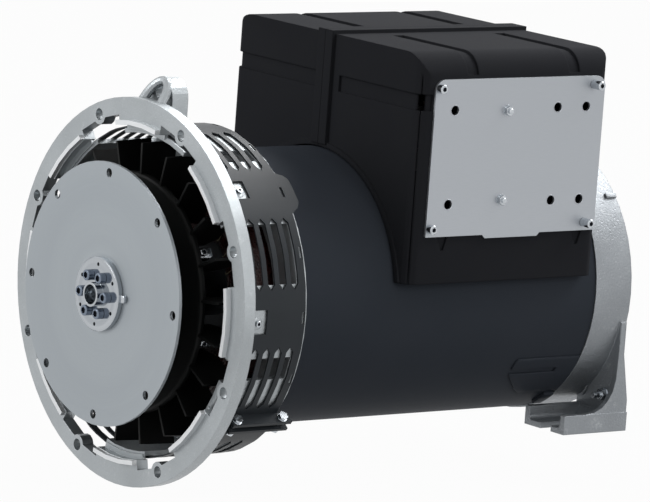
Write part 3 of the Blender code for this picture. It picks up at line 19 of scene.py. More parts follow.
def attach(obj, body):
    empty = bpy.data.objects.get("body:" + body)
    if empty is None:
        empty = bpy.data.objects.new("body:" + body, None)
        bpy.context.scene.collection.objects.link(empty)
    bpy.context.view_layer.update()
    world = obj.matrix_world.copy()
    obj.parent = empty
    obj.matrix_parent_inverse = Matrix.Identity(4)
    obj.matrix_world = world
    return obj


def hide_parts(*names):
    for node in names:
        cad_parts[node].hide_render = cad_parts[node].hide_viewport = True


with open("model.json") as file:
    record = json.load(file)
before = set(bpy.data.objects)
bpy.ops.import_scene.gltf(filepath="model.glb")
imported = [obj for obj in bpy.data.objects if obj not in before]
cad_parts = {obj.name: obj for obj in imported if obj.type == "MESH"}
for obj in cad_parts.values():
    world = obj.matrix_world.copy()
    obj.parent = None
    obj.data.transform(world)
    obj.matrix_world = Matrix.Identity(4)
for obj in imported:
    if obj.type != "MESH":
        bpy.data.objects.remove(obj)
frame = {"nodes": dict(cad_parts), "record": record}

LOG = logging.getLogger("alternator")
MM = 0.001
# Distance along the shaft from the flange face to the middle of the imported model.
MID_LENGTH = 0.22735
# Outer radius of the engine flange, whose rim is the lowest part of the object.
FLANGE_R = 0.1778
ORIGIN = Vector((0.0, -MID_LENGTH, FLANGE_R))
RIGHT, REAR, UP = Vector((1.0, 0.0, 0.0)), Vector((0.0, 1.0, 0.0)), Vector((0.0, 0.0, 1.0))

# Faces of a new piece that meet at less than this many degrees are shaded as one round surface.
SMOOTH_ANGLE = 32.0
# Edges between faces that meet at more than this many degrees can be softened.
HARD_ANGLE = 35.0
# Faces that meet at less than this many degrees lie on one flat.
FLAT_ANGLE = 0.02
# Corners closer than this are one corner.
WELD = 0.000002

# Radius of the cast hollow of a foot along its walls, and the lowest and highest corner of both hollows.
POCKET_ROUND = 0.0045
FOOT_POCKETS = (((0.0785, 0.405, -0.1265), (0.1240, 0.4810, -0.1100)),
                ((-0.1240, 0.405, -0.1265), (-0.0785, 0.4810, -0.1100)))
# Outer radius and rear end of the spigot segments. Their faces get a near-white finish that is partly the
# lathe's bright cut and partly a painted highlight.
SPIGOT_HIGHLIGHT_ZONE = (0.1572, 0.006)

# Values of the noise between which each property of a finish changes.
DRIFT_LIMITS = (0.3, 0.7)
SPOT_LIMITS = (0.60, 0.74)
GRAIN_LIMITS = (0.35, 0.8)
ROUGH_LIMITS = (0.25, 0.75)
# Size of casting pits against the grain, and the distances from a pit's middle between which its wall rises.
PIT_SIZE = 2.2
PIT_LIMITS = (0.05, 0.35)
# Scale of a lamination's bands, times the size of its grain.
BAND_SCALE = 0.05
# Share of the place that is mixed into the radius of turned rings.
RING_DRIFT = 0.03

Pair = tuple[float, float]
Spot = tuple[float, float, float]
Socket = bpy.types.NodeSocket
Tree = bpy.types.NodeTree


class Body(Enum):
    """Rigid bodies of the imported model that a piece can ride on."""

    STATOR = "stator"
    ROTOR = "rotor"


def srgb(code: str) -> tuple[float, float, float, float]:
    """Turns a hex colour into linear values.

    Args:
        code: Six hex digits.

    Returns:
        Red, green, blue and an alpha of one.
    """
    parts = [int(code[i:i + 2], 16) / 255 for i in (0, 2, 4)]
    line = [p / 12.92 if p <= 0.04045 else ((p + 0.055) / 1.055) ** 2.4 for p in parts]
    return line[0], line[1], line[2], 1.0


def add_node(tree: Tree, kind: str, inputs: dict | None = None, **settings: object) -> bpy.types.Node:
    """Adds a shader node with its settings, values and links.

    Args:
        tree: The node tree it goes into.
        kind: The node's type name.
        inputs: Input name or number to a value, or to an output socket that is linked.
        settings: Properties of the node itself.

    Returns:
        The new node.
    """
    node = tree.nodes.new(kind)
    for key, value in settings.items():
        setattr(node, key, value)
    for key, value in (inputs or {}).items():
        if isinstance(value, Socket):
            tree.links.new(value, node.inputs[key])
        else:
            node.inputs[key].default_value = value
    return node


def blend(tree: Tree, share: Socket, low: Socket | tuple, high: Socket | tuple) -> Socket:
    """Mixes two colours by a share from 0 to 1."""
    mix = add_node(tree, "ShaderNodeMix", {0: share, 6: low, 7: high}, data_type="RGBA")
    return mix.outputs[2]


def spread(tree: Tree, value: Socket, low: float, high: float, out_low: float = 0.0,
           out_high: float = 1.0) -> Socket:
    """Maps a value between two limits onto two others, and holds it there."""
    limits = {"Value": value, "From Min": low, "From Max": high, "To Min": out_low, "To Max": out_high}
    return add_node(tree, "ShaderNodeMapRange", limits).outputs[0]


@dataclass(frozen=True)
class Finish:
    """A surface finish: what the part is made of and how its surface was made.

    Attributes:
        name: Name of the material.
        colour: Main colour as hex.
        shade: Second colour, which it drifts to over the surface.
        metallic: 1 for clean metal, less where oxide dulls it, 0 for paint and plastic.
        roughness: Mean roughness, and swing on both sides of it.
        grain: Size of the fine relief in millimetres.
        depth: Height of the fine relief in millimetres.
        patch: Size of the slow colour drift in millimetres.
        worn: Colour of rubbed or dusty spots.
        wear: How strongly those spots show, from 0 to 1.
        ior: Index of refraction.
        gloss: Strength of the clear surface reflection of paint and plastic; matting agents lower it.
        stretch: Factors on the place along each axis, below 1 along the direction of working.
        soft: Radius in millimetres over which hard edges look broken or moulded round.
    """

    name: str
    colour: str
    shade: str
    metallic: float
    roughness: Pair
    grain: float
    depth: float
    patch: float
    worn: str
    wear: float = 0.3
    ior: float = 1.5
    gloss: float = 0.5
    stretch: Spot = (1.0, 1.0, 1.0)
    soft: float = 0.25

    def coordinates(self, tree: Tree) -> Socket:
        """Place of the shaded point in the piece's own space, stretched along the direction of working."""
        where = add_node(tree, "ShaderNodeTexCoord").outputs["Object"]
        drawn = add_node(tree, "ShaderNodeVectorMath", {0: where, 1: self.stretch}, operation="MULTIPLY")
        return drawn.outputs[0]

    def noise(self, tree: Tree, where: Socket, size: float, detail: float, rough: float = 0.55) -> Socket:
        """Noise whose features are as large as the size, in millimetres."""
        values = {"Vector": where, "Scale": 1.0 / (size * MM), "Detail": detail, "Roughness": rough}
        return add_node(tree, "ShaderNodeTexNoise", values).outputs["Fac"]

    def height(self, tree: Tree, where: Socket) -> Socket:
        """Fine relief of the surface, from 0 to 1."""
        return self.noise(tree, where, self.grain, detail=3.0, rough=0.6)

    def material(self) -> bpy.types.Material:
        """Builds the material.

        Returns:
            A new node material with colour, wear, roughness and relief of its own.
        """
        finish = bpy.data.materials.new(self.name)
        finish.use_nodes = True
        tree = finish.node_tree
        shader = tree.nodes["Principled BSDF"]
        shader.inputs["Metallic"].default_value = self.metallic
        shader.inputs["IOR"].default_value = self.ior
        shader.inputs["Specular IOR Level"].default_value = self.gloss
        where = self.coordinates(tree)
        height = self.height(tree, where)
        drift = spread(tree, self.noise(tree, where, self.patch, detail=3.0), *DRIFT_LIMITS)
        small = self.noise(tree, where, self.patch / 5, detail=6.0, rough=0.7)
        spots = spread(tree, small, *SPOT_LIMITS, out_high=self.wear)
        base = blend(tree, drift, srgb(self.colour), srgb(self.shade))
        grainy = blend(tree, spread(tree, height, *GRAIN_LIMITS, out_high=0.5), base, srgb(self.shade))
        tree.links.new(blend(tree, spots, grainy, srgb(self.worn)), shader.inputs["Base Color"])
        mean, swing = self.roughness
        rough = spread(tree, height, *ROUGH_LIMITS, mean - swing, mean + swing)
        rubbed = add_node(tree, "ShaderNodeMath", {0: spots, 1: swing, 2: rough}, operation="MULTIPLY_ADD")
        tree.links.new(rubbed.outputs[0], shader.inputs["Roughness"])
        edges = add_node(tree, "ShaderNodeBevel", {"Radius": self.soft * MM}, samples=4)
        relief = {"Height": height, "Strength": 1.0, "Distance": self.depth * MM, "Normal": edges.outputs[0]}
        bump = add_node(tree, "ShaderNodeBump", relief)
        tree.links.new(bump.outputs[0], shader.inputs["Normal"])
        return finish


@dataclass(frozen=True)
class Laminated(Finish):
    """Stacked electrical sheet: steps along the shaft, coarser than the real 0.5 mm so that they show."""

    def height(self, tree: Tree, where: Socket) -> Socket:
        """Relief in bands along the shaft, each about six grains long."""
        values = {"Vector": where, "Scale": BAND_SCALE / (self.grain * MM)}
        return add_node(tree, "ShaderNodeTexWave", values, bands_direction="Y").outputs["Fac"]


@dataclass(frozen=True)
class Turned(Finish):
    """Metal cut on a lathe, or rolled and ground: fine rings round the shaft axis."""

    def coordinates(self, tree: Tree) -> Socket:
        """Finds the radius from the shaft axis, with a little of the place so that the rings aren't perfect.

        Args:
            tree: The material's node tree.

        Returns:
            The radius and two slow coordinates as one vector.
        """
        where = add_node(tree, "ShaderNodeTexCoord").outputs["Object"]
        part = add_node(tree, "ShaderNodeSeparateXYZ", {0: where})
        lift = add_node(tree, "ShaderNodeMath", {0: part.outputs[2], 1: -FLANGE_R}, operation="ADD")
        flat = add_node(tree, "ShaderNodeCombineXYZ", {0: part.outputs[0], 1: lift.outputs[0]})
        radius = add_node(tree, "ShaderNodeVectorMath", {0: flat.outputs[0]}, operation="LENGTH")
        slow = add_node(tree, "ShaderNodeVectorMath", {0: where, "Scale": RING_DRIFT}, operation="SCALE")
        slow = add_node(tree, "ShaderNodeSeparateXYZ", {0: slow.outputs[0]})
        place = {0: radius.outputs["Value"], 1: slow.outputs[0], 2: slow.outputs[2]}
        return add_node(tree, "ShaderNodeCombineXYZ", place).outputs[0]


@dataclass(frozen=True)
class Cast(Finish):
    """Sand-cast and blasted metal: an even grain with small pits in it."""

    def height(self, tree: Tree, where: Socket) -> Socket:
        """Makes fine noise with pits that are about twice as large.

        Args:
            tree: The material's node tree.
            where: The place on the surface.

        Returns:
            The relief, from 0 to 1.
        """
        scale = 1.0 / (PIT_SIZE * self.grain * MM)
        cells = add_node(tree, "ShaderNodeTexVoronoi", {"Vector": where, "Scale": scale})
        pits = spread(tree, cells.outputs["Distance"], *PIT_LIMITS)
        even = self.noise(tree, where, self.grain, detail=4.0, rough=0.65)
        return add_node(tree, "ShaderNodeMath", {0: even, 1: pits}, operation="MULTIPLY").outputs[0]


class Finishes:
    """Every finish of the object, each built once."""

    # Blasted aluminium casting: a bright grey with a fine even grain and small pits.
    CAST = Cast(name="cast_aluminium_blasted", colour="ABB0B3", shade="9CA1A4", metallic=0.8,
                roughness=(0.42, 0.10), grain=1.4, depth=0.16, patch=60.0, worn="D0D3D5", wear=0.35,
                soft=0.7)
    # Spigot segments left bright by the lathe, over the blasted ring, and painted lighter still as a painted
    # highlight.
    SPIGOT_HIGHLIGHT = Turned(name="turned_aluminium_spigot_highlight", colour="EEF0F2", shade="E2E5E7", metallic=0.5,
                    roughness=(0.40, 0.05), grain=0.6, depth=0.01, patch=40.0, worn="E6E8EA", wear=0.2)
    # The rear casting is darker and coarser, and its mould left its edges rounder.
    REAR_CAST = Cast(name="cast_aluminium_rear", colour="93979B", shade="84888C", metallic=0.8,
                     roughness=(0.46, 0.12), grain=1.7, depth=0.34, patch=70.0, worn="CDD0D2", wear=0.4,
                     soft=1.3)
    # Satin charcoal paint over rolled steel: nearly smooth, with a slight orange peel.
    PAINT = Finish(name="satin_charcoal_paint", colour="363B42", shade="3A3E45", metallic=0.0,
                   roughness=(0.52, 0.03), grain=2.6, depth=0.008, patch=120.0, worn="40444A", wear=0.3,
                   gloss=0.03)
    # The same paint on the pierced sheet, a little glossier.
    SCREEN = Finish(name="satin_charcoal_sheet", colour="2B2F33", shade="303438", metallic=0.0,
                    roughness=(0.42, 0.04), grain=1.8, depth=0.008, patch=60.0, worn="2E3236", wear=0.3,
                    gloss=0.18)
    # Moulded plastic with a spark-eroded texture: an even dull black.
    BOX = Finish(name="moulded_black_polymer", colour="25262A", shade="28292C", metallic=0.0,
                 roughness=(0.86, 0.04), grain=0.8, depth=0.03, patch=120.0, worn="2B2C2E", wear=0.3,
                 ior=1.46, gloss=0.05, soft=2.2)
    # Zinc-plated sheet: bright, slightly blue, with faint rolling marks.
    PLATE = Finish(name="zinc_plated_sheet", colour="ABAFB4", shade="A5A9AE", metallic=0.85,
                   roughness=(0.42, 0.03), grain=0.9, depth=0.004, patch=160.0, worn="BDC1C5", wear=0.2,
                   stretch=(1.0, 0.08, 1.0))
    # Cold-rolled steel of the drive disc: an even grey with rings that barely show.
    DISC = Turned(name="cold_rolled_disc_steel", colour="A0A6AA", shade="989EA3", metallic=0.85,
                  roughness=(0.42, 0.03), grain=0.7, depth=0.003, patch=60.0, worn="AFB4B8", wear=0.2)
    # Polished, so that it mirrors the screw heads that stand on it.
    CLAMP = Turned(name="polished_clamp_steel", colour="B9BDC1", shade="A3A8AD", metallic=1.0,
                   roughness=(0.12, 0.03), grain=0.35, depth=0.002, patch=8.0, worn="E0E3E6", wear=0.2)
    # Bright chromated zinc: a mirror with small dull spots.
    FASTENER = Finish(name="bright_zinc_fastener", colour="C9CDD1", shade="AEB3B8", metallic=1.0,
                      roughness=(0.16, 0.05), grain=0.5, depth=0.005, patch=6.0, worn="8D9297", wear=0.4)
    # Blue-passivated zinc of the hub's screws: darker and bluer than the others.
    BLUED = Finish(name="blue_zinc_screw", colour="7F8997", shade="6B7583", metallic=1.0,
                   roughness=(0.22, 0.05), grain=0.5, depth=0.005, patch=5.0, worn="98A1AD", wear=0.4)
    # Bare turned steel: a clear grey sheen with fine tool rings.
    MACHINED = Turned(name="machined_steel", colour="A4A8AB", shade="8F9397", metallic=1.0,
                      roughness=(0.30, 0.06), grain=0.4, depth=0.006, patch=8.0, worn="6F7072", wear=0.4)
    # Ground bearing steel: smooth, nearly a mirror.
    BEARING = Finish(name="ground_bearing_steel", colour="B9BCC0", shade="AEB2B6", metallic=1.0,
                     roughness=(0.16, 0.03), grain=0.4, depth=0.003, patch=20.0, worn="8E8A80", wear=0.3)
    # Edges of the stacked sheets: dark grey bands with a little rust.
    LAMINATION = Laminated(name="lamination_stack", colour="4C4F52", shade="3A3D40", metallic=0.6,
                           roughness=(0.45, 0.08), grain=1.2, depth=0.12, patch=20.0, worn="5A3A2A",
                           wear=0.4)
    # Enamelled copper under dark red varnish: glossy, nearly black in the hollows.
    WINDING = Finish(name="varnished_copper_winding", colour="3C120F", shade="1C0807", metallic=0.0,
                     roughness=(0.30, 0.10), grain=2.2, depth=0.5, patch=9.0, worn="5A2018", wear=0.4,
                     ior=1.55)
    # Moulded black nylon, darkened further as painted shade for the unlit inside of the fan housing, so that
    # it shows only at its edges.
    FAN_WITH_SHADE = Finish(name="moulded_fan_nylon_painted_shade", colour="060707", shade="090A0A", metallic=0.0,
                 roughness=(0.50, 0.06), grain=1.0, depth=0.03, patch=40.0, worn="111212", wear=0.3,
                 gloss=0.15)
    # Phenolic board: brown with a faint sheen.
    BOARD = Finish(name="brown_phenolic_board", colour="6B4A2B", shade="5A3D22", metallic=0.0,
                   roughness=(0.45, 0.06), grain=0.8, depth=0.03, patch=12.0, worn="7C5C3A", wear=0.3)
    # Potting resin: dark blue, smooth and slightly wavy.
    RESIN = Finish(name="potted_resin", colour="1F2A44", shade="19233A", metallic=0.0,
                   roughness=(0.38, 0.05), grain=2.0, depth=0.03, patch=15.0, worn="2B3650", wear=0.3)
    # Plain sheet steel: a dull grey with small brown spots.
    SADDLE = Finish(name="plain_sheet_steel", colour="8C9195", shade="7E8387", metallic=0.9,
                    roughness=(0.42, 0.06), grain=1.4, depth=0.01, patch=30.0, worn="6E6660", wear=0.4)
    # Painted shade in the hexagon sockets: a near-black piece that stands in for the shade inside the
    # recess.
    SOCKET_SHADE = Finish(name="painted_socket_shade", colour="10151C", shade="0B0F15", metallic=0.9,
                    roughness=(0.30, 0.06), grain=0.5, depth=0.01, patch=3.0, worn="2A3440", wear=0.5)
    # Waxed lacing cord round the winding ends.
    CORD = Finish(name="waxed_lacing_cord", colour="B8AE96", shade="9C927A", metallic=0.0,
                  roughness=(0.60, 0.06), grain=0.6, depth=0.15, patch=5.0, worn="8A7F68", wear=0.4)

    def __init__(self) -> None:
        """Starts with no material built."""
        self.made: dict[str, bpy.types.Material] = {}

    def get(self, finish: Finish) -> bpy.types.Material:
        """Finds the material of a finish, and builds it at its first use.

        Args:
            finish: The finish.

        Returns:
            Its material.
        """
        if finish.name not in self.made:
            self.made[finish.name] = finish.material()
        return self.made[finish.name]


FINISHES = Finishes()

SLOT_FINISHES = {
    "cast_aluminium": Finishes.CAST,
    "rear_cast_aluminium": Finishes.REAR_CAST,
    "painted_screen": Finishes.SCREEN,
    "painted_housing": Finishes.PAINT,
    "moulded_box": Finishes.BOX,
    "zinc_plate": Finishes.PLATE,
    "saddle_steel": Finishes.SADDLE,
    "drive_disc_steel": Finishes.DISC,
    "turned_clamp_steel": Finishes.CLAMP,
    "zinc_fasteners": Finishes.FASTENER,
    "machined_steel": Finishes.MACHINED,
    "bearing_steel": Finishes.BEARING,
    "lamination_steel": Finishes.LAMINATION,
    "varnished_copper": Finishes.WINDING,
    # The fan's finish also carries painted shade for the inside of the housing.
    "fan_nylon": Finishes.FAN_WITH_SHADE,
    "board_phenolic": Finishes.BOARD,
    "regulator_resin": Finishes.RESIN,
}

BODY_NODES = frame["record"]["behaviour"]["bodies"]
SLOTS = {part["node"]: part["material_slot"] for part in frame["record"]["subparts"]}


def dress_frame() -> None:
    """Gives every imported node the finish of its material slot."""
    for name, item in frame["nodes"].items():
        item.data.materials.clear()
        item.data.materials.append(FINISHES.get(SLOT_FINISHES[SLOTS[name]]))
    LOG.info("dressed %d packed nodes", len(SLOTS))


@dataclass(frozen=True)
class Skin:
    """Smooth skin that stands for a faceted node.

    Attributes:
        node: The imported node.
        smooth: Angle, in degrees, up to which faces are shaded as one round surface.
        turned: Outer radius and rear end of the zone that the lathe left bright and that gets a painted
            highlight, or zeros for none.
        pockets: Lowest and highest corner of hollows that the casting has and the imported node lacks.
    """

    node: str
    smooth: float = 15.0
    turned: Pair = (0.0, 0.0)
    pockets: tuple[tuple[Spot, Spot], ...] = ()

    def build(self) -> None:
        """Makes the skin from the node's own surface and lets it stand for the node."""
        mesh = bmesh.new()
        mesh.from_mesh(frame["nodes"][self.node].data)
        bmesh.ops.remove_doubles(mesh, verts=mesh.verts, dist=WELD)
        flat = math.radians(FLAT_ANGLE)
        bmesh.ops.dissolve_limit(mesh, angle_limit=flat, verts=mesh.verts, edges=mesh.edges)
        data = bpy.data.meshes.new(self.node + "_skin")
        mesh.to_mesh(data)
        mesh.free()
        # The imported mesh's own normals would keep the facets.
        for name in [a.name for a in data.attributes if a.name == "custom_normal"]:
            data.attributes.remove(data.attributes[name])
        item = bpy.data.objects.new(self.node + "_skin", data)
        bpy.context.scene.collection.objects.link(item)
        for low, high in self.pockets:
            self.hollow(item, low, high)
        data = item.data
        data.shade_smooth()
        data.set_sharp_from_angle(angle=math.radians(self.smooth))
        data.materials.clear()
        data.materials.append(FINISHES.get(SLOT_FINISHES[SLOTS[self.node]]))
        # The turned zone carries a painted highlight as well as the lathe's bright cut.
        if self.turned[0]:
            self.paint_highlight(data)
        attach(item, next(b for b, names in BODY_NODES.items() if self.node in names))
        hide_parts(self.node)
        LOG.info("skin %s, %d faces", item.name, len(data.polygons))

    def hollow(self, item: bpy.types.Object, low: Spot, high: Spot) -> None:
        """Cuts one pocket out of the skin.

        Args:
            item: The skin.
            low: Lowest corner of the pocket in the flange frame.
            high: Highest corner.
        """
        mesh = bmesh.new()
        size = Vector(high) - Vector(low)
        middle = (Vector(high) + Vector(low)) / 2 + ORIGIN
        place = Matrix.Translation(middle) @ Matrix.Diagonal((*size, 1.0))
        bmesh.ops.create_cube(mesh, size=1.0, matrix=place)
        upright = [e for e in mesh.edges if abs((e.verts[0].co - e.verts[1].co).normalized().y) > 0.9
                   and max(v.co.z for v in e.verts) < middle.z]
        bmesh.ops.bevel(mesh, geom=upright, offset=POCKET_ROUND, segments=6, profile=0.5, affect="EDGES")
        data = bpy.data.meshes.new("pocket")
        mesh.to_mesh(data)
        mesh.free()
        cutter = bpy.data.objects.new("pocket", data)
        bpy.context.scene.collection.objects.link(cutter)
        step = item.modifiers.new("pocket", "BOOLEAN")
        step.operation, step.solver, step.object = "DIFFERENCE", "EXACT", cutter
        bpy.context.view_layer.update()
        graph = bpy.context.evaluated_depsgraph_get()
        item.data = bpy.data.meshes.new_from_object(item.evaluated_get(graph))
        item.modifiers.clear()
        bpy.data.objects.remove(cutter)

    def paint_highlight(self, data: bpy.types.Mesh) -> None:
        """Gives the turned zone its own near-white finish, which is partly turned metal and partly a painted
        highlight.

        Args:
            data: The skin's mesh.
        """
        data.materials.append(FINISHES.get(Finishes.SPIGOT_HIGHLIGHT))
        radius, rear = self.turned
        places = [vertex.co - ORIGIN for vertex in data.vertices]
        within = [math.hypot(p.x, p.z) < radius and p.y < rear for p in places]
        for face in data.polygons:
            if all(within[k] for k in face.vertices):
                face.material_index = 1


@dataclass(frozen=True)
class Seat:
    """A place in the flange frame with three directions of its own."""

    origin: Vector
    across: Vector
    up: Vector
    out: Vector

    def at(self, u: float, v: float, w: float) -> Vector:
        """Point at these distances along the three directions."""
        return self.origin + u * self.across + v * self.up + w * self.out

    @classmethod
    def radial(cls, angle: float, y: float, radius: float) -> "Seat":
        """Makes a seat on a cylinder round the shaft, facing outwards.

        Args:
            angle: Angle round the shaft, from the right side upwards.
            y: Place along the shaft.
            radius: Radius of the cylinder.

        Returns:
            The seat.
        """
        turn = math.radians(angle)
        out = Vector((math.cos(turn), 0.0, math.sin(turn)))
        return cls(out * radius + Vector((0.0, y, 0.0)), REAR, Vector((-out.z, 0.0, out.x)), out)

    @classmethod
    def side(cls, x: float, y: float, z: float, facing: float = 1.0) -> "Seat":
        """Seat on an upright side, facing right, or left when facing is -1."""
        return cls(Vector((x, y, z)), REAR, UP, Vector((facing, 0.0, 0.0)))

    @classmethod
    def end(cls, radius: float, angle: float, y: float, facing: float = -1.0) -> "Seat":
        """Makes a seat on a face square to the shaft.

        Args:
            radius: Distance from the shaft axis.
            angle: Angle round the shaft, from the right side upwards.
            y: Place of the face along the shaft.
            facing: -1 for a seat that faces forwards, 1 for one that faces rearwards.

        Returns:
            The seat.
        """
        turn = math.radians(angle)
        across = Vector((math.cos(turn), 0.0, math.sin(turn)))
        return cls(across * radius + Vector((0.0, y, 0.0)), across, Vector((-across.z, 0.0, across.x)),
                   Vector((0.0, facing, 0.0)))


def disc(radius: float, steps: int = 24) -> list[Pair]:
    """Points round a circle."""
    turns = [math.radians(360.0 * k / steps) for k in range(steps)]
    return [(radius * math.cos(t), radius * math.sin(t)) for t in turns]


def hexagon(across: float, steps: int = 24) -> list[Pair]:
    """Spreads points round a hexagon.

    Args:
        across: Width across its flats.
        steps: Number of points.

    Returns:
        The points.
    """
    points = []
    for k in range(steps):
        turn = 2 * math.pi * k / steps
        radius = across / 2 / math.cos((turn + math.pi / 6) % (math.pi / 3) - math.pi / 6)
        points.append((radius * math.cos(turn), radius * math.sin(turn)))
    return points


class Shape:
    """A mesh drawn in the flange frame and then put in the model as one piece."""

    def __init__(self) -> None:
        """Starts empty."""
        self.mesh = bmesh.new()

    def loft(self, rings: Sequence[Sequence[Vector]], closed: bool = False) -> "Shape":
        """Adds a skin through a row of rings.

        Args:
            rings: Rings that all have the same number of points.
            closed: Joins the last ring to the first; otherwise both ends are capped.

        Returns:
            This shape.
        """
        rows = [[self.mesh.verts.new(point) for point in ring] for ring in rings]
        for near, far in zip(rows, rows[1:] + rows[:1] if closed else rows[1:]):
            for k in range(len(near)):
                self.mesh.faces.new((near[k - 1], near[k], far[k], far[k - 1]))
        if not closed:
            self.mesh.faces.new(rows[0])
            self.mesh.faces.new(rows[-1])
        return self

    def steps(self, seat: Seat, sections: Sequence[tuple[Sequence[Pair], float]]) -> "Shape":
        """Adds a solid through flat outlines, each at its own height over the seat."""
        return self.loft([[seat.at(u, v, w) for u, v in outline] for outline, w in sections])

    def turned(self, seat: Seat, profile: Sequence[Pair], steps: int = 24) -> "Shape":
        """Adds a solid turned about the seat's outward direction, from (radius, height) points."""
        return self.steps(seat, [(disc(radius, steps), w) for radius, w in profile])

    def ring(self, seat: Seat, profile: Sequence[Pair], steps: int = 24) -> "Shape":
        """Adds a ring with a hole, from a closed (radius, height) profile."""
        rings = [[seat.at(u, v, w) for u, v in disc(radius, steps)] for radius, w in profile]
        return self.loft(rings, closed=True)

    def tube(self, path: Sequence[Vector], radius: float, sides: int = 8, closed: bool = False) -> "Shape":
        """Adds a round bar along a path.

        Args:
            path: Points of its middle line.
            radius: Radius of the bar.
            sides: Number of flats that its round section is drawn with.
            closed: Joins its end to its start.

        Returns:
            This shape.
        """
        rings = []
        count = len(path)
        for k, point in enumerate(path):
            near = path[k - 1] if closed or k else path[0]
            far = path[(k + 1) % count] if closed else path[min(k + 1, count - 1)]
            run = (far - near).normalized()
            side = run.cross(REAR if abs(run.y) < 0.9 else RIGHT).normalized()
            lift = run.cross(side)
            rings.append([point + u * side + v * lift for u, v in disc(radius, sides)])
        return self.loft(rings, closed)

    def put(self, name: str, finish: Finish, body: Body, edge: float = 0.0,
            slot: str = "") -> bpy.types.Object:
        """Turns the mesh into a piece of the model.

        Args:
            name: Name of the piece.
            finish: Its finish.
            body: The rigid body it rides on.
            edge: Width of a soft bevel on its hard edges, or 0 for none.
            slot: The record's material slot, or none; not used.

        Returns:
            The new object.
        """
        bmesh.ops.recalc_face_normals(self.mesh, faces=self.mesh.faces)
        if edge:
            limit = math.radians(HARD_ANGLE)
            hard = [e for e in self.mesh.edges if len(e.link_faces) == 2 and e.calc_face_angle() > limit]
            bmesh.ops.bevel(self.mesh, geom=hard, offset=edge, segments=2, profile=0.5, affect="EDGES",
                            clamp_overlap=True)
        bmesh.ops.translate(self.mesh, verts=self.mesh.verts, vec=ORIGIN)
        data = bpy.data.meshes.new(name)
        self.mesh.to_mesh(data)
        self.mesh.free()
        data.shade_smooth()
        data.set_sharp_from_angle(angle=math.radians(SMOOTH_ANGLE))
        data.materials.append(FINISHES.get(finish))
        item = bpy.data.objects.new(name, data)
        bpy.context.scene.collection.objects.link(item)
        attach(item, body.value)
        LOG.info("piece %s", name)
        return item


@dataclass(frozen=True)
class SocketScrew:
    """Round-headed screw with a hexagon socket, whose floor is a black piece of painted shade.

    Attributes:
        head: Diameter of the head.
        height: Height of the head.
        socket: Width of the socket across its flats.
        depth: Depth of the socket.
        shank: Diameter of the shank.
        reach: Length of the shank under the head.
        soft: Width of the chamfer round the head.
        finish: Finish of the screw.
        gap: Gap between the socket and the black painted-shade piece in it.
        filled: Share of the socket's depth up to which the black painted-shade piece reaches.
    """

    head: float
    height: float
    socket: float
    depth: float
    shank: float
    reach: float
    soft: float = 0.0005
    finish: Finish = Finishes.FASTENER
    gap: float = 0.0001
    filled: float = 0.55

    def build(self, name: str, seat: Seat, body: Body, node: str = "") -> None:
        """Makes the screw on its seat.

        Args:
            name: Name of the piece.
            seat: Where the underside of the head lies, facing out of the surface.
            body: The rigid body it rides on.
            node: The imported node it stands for, or none.
        """
        top, floor = self.height, self.height - self.depth
        shank, rim, socket = disc(self.shank / 2), disc(self.head / 2), hexagon(self.socket)
        sections = [(shank, -self.reach), (shank, 0.0), (rim, 0.0), (rim, top - self.soft),
                    (disc(self.head / 2 - self.soft), top), (socket, top), (socket, floor)]
        screw = Shape().steps(seat, sections).put(name, self.finish, body, slot="zinc_fasteners")
        if node:
            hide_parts(node)
        # The black piece in the socket is painted shade for the recess.
        inside = hexagon(self.socket - 2 * self.gap)
        Shape().steps(seat, [(inside, floor + self.gap), (inside, floor + self.depth * self.filled)]).put(
            name + "_socket", Finishes.SOCKET_SHADE, body)


@dataclass(frozen=True)
class HexNut:
    """Hexagon nut on a stud, with chamfered corners.

    Attributes:
        across: Width across the flats.
        height: Height of the nut.
        stud: Diameter of the stud.
        stand: How far the stud stands out of the nut.
        reach: Length of the stud under the nut.
        edge: Height of the chamfers.
    """

    across: float
    height: float
    stud: float
    stand: float
    reach: float
    edge: float = 0.0006

    def build(self, name: str, seat: Seat, body: Body, node: str = "") -> None:
        """Makes the nut with its stud on the seat.

        Args:
            name: Name of the piece.
            seat: Where the underside of the nut lies, facing out of the surface.
            body: The rigid body it rides on.
            node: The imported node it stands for, or none.
        """
        top, end = self.height, self.height + self.stand
        stud, rim, flats = disc(self.stud / 2), disc(self.across / 2), hexagon(self.across)
        sections = [(stud, -self.reach), (stud, 0.0), (rim, 0.0), (flats, self.edge),
                    (flats, top - self.edge), (rim, top), (stud, top), (stud, end - self.edge),
                    (disc(self.stud / 2 - self.edge), end)]
        nut = Shape().steps(seat, sections).put(name, Finishes.FASTENER, body, slot="zinc_fasteners")
        if node:
            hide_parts(node)


def washer(name: str, seat: Seat, body: Body, hole: float, outer: float, thick: float) -> None:
    """Adds a flat washer with chamfered rims.

    Args:
        name: Name of the piece.
        seat: Where its underside lies.
        body: The rigid body it rides on.
        hole: Diameter of its hole.
        outer: Outer diameter.
        thick: Thickness.
    """
    edge = thick / 4
    profile = [(hole / 2, 0.0), (outer / 2, 0.0), (outer / 2, thick - edge), (outer / 2 - edge, thick),
               (hole / 2 + edge, thick), (hole / 2, thick - edge)]
    Shape().ring(seat, profile).put(name, Finishes.FASTENER, body, slot="zinc_fasteners")


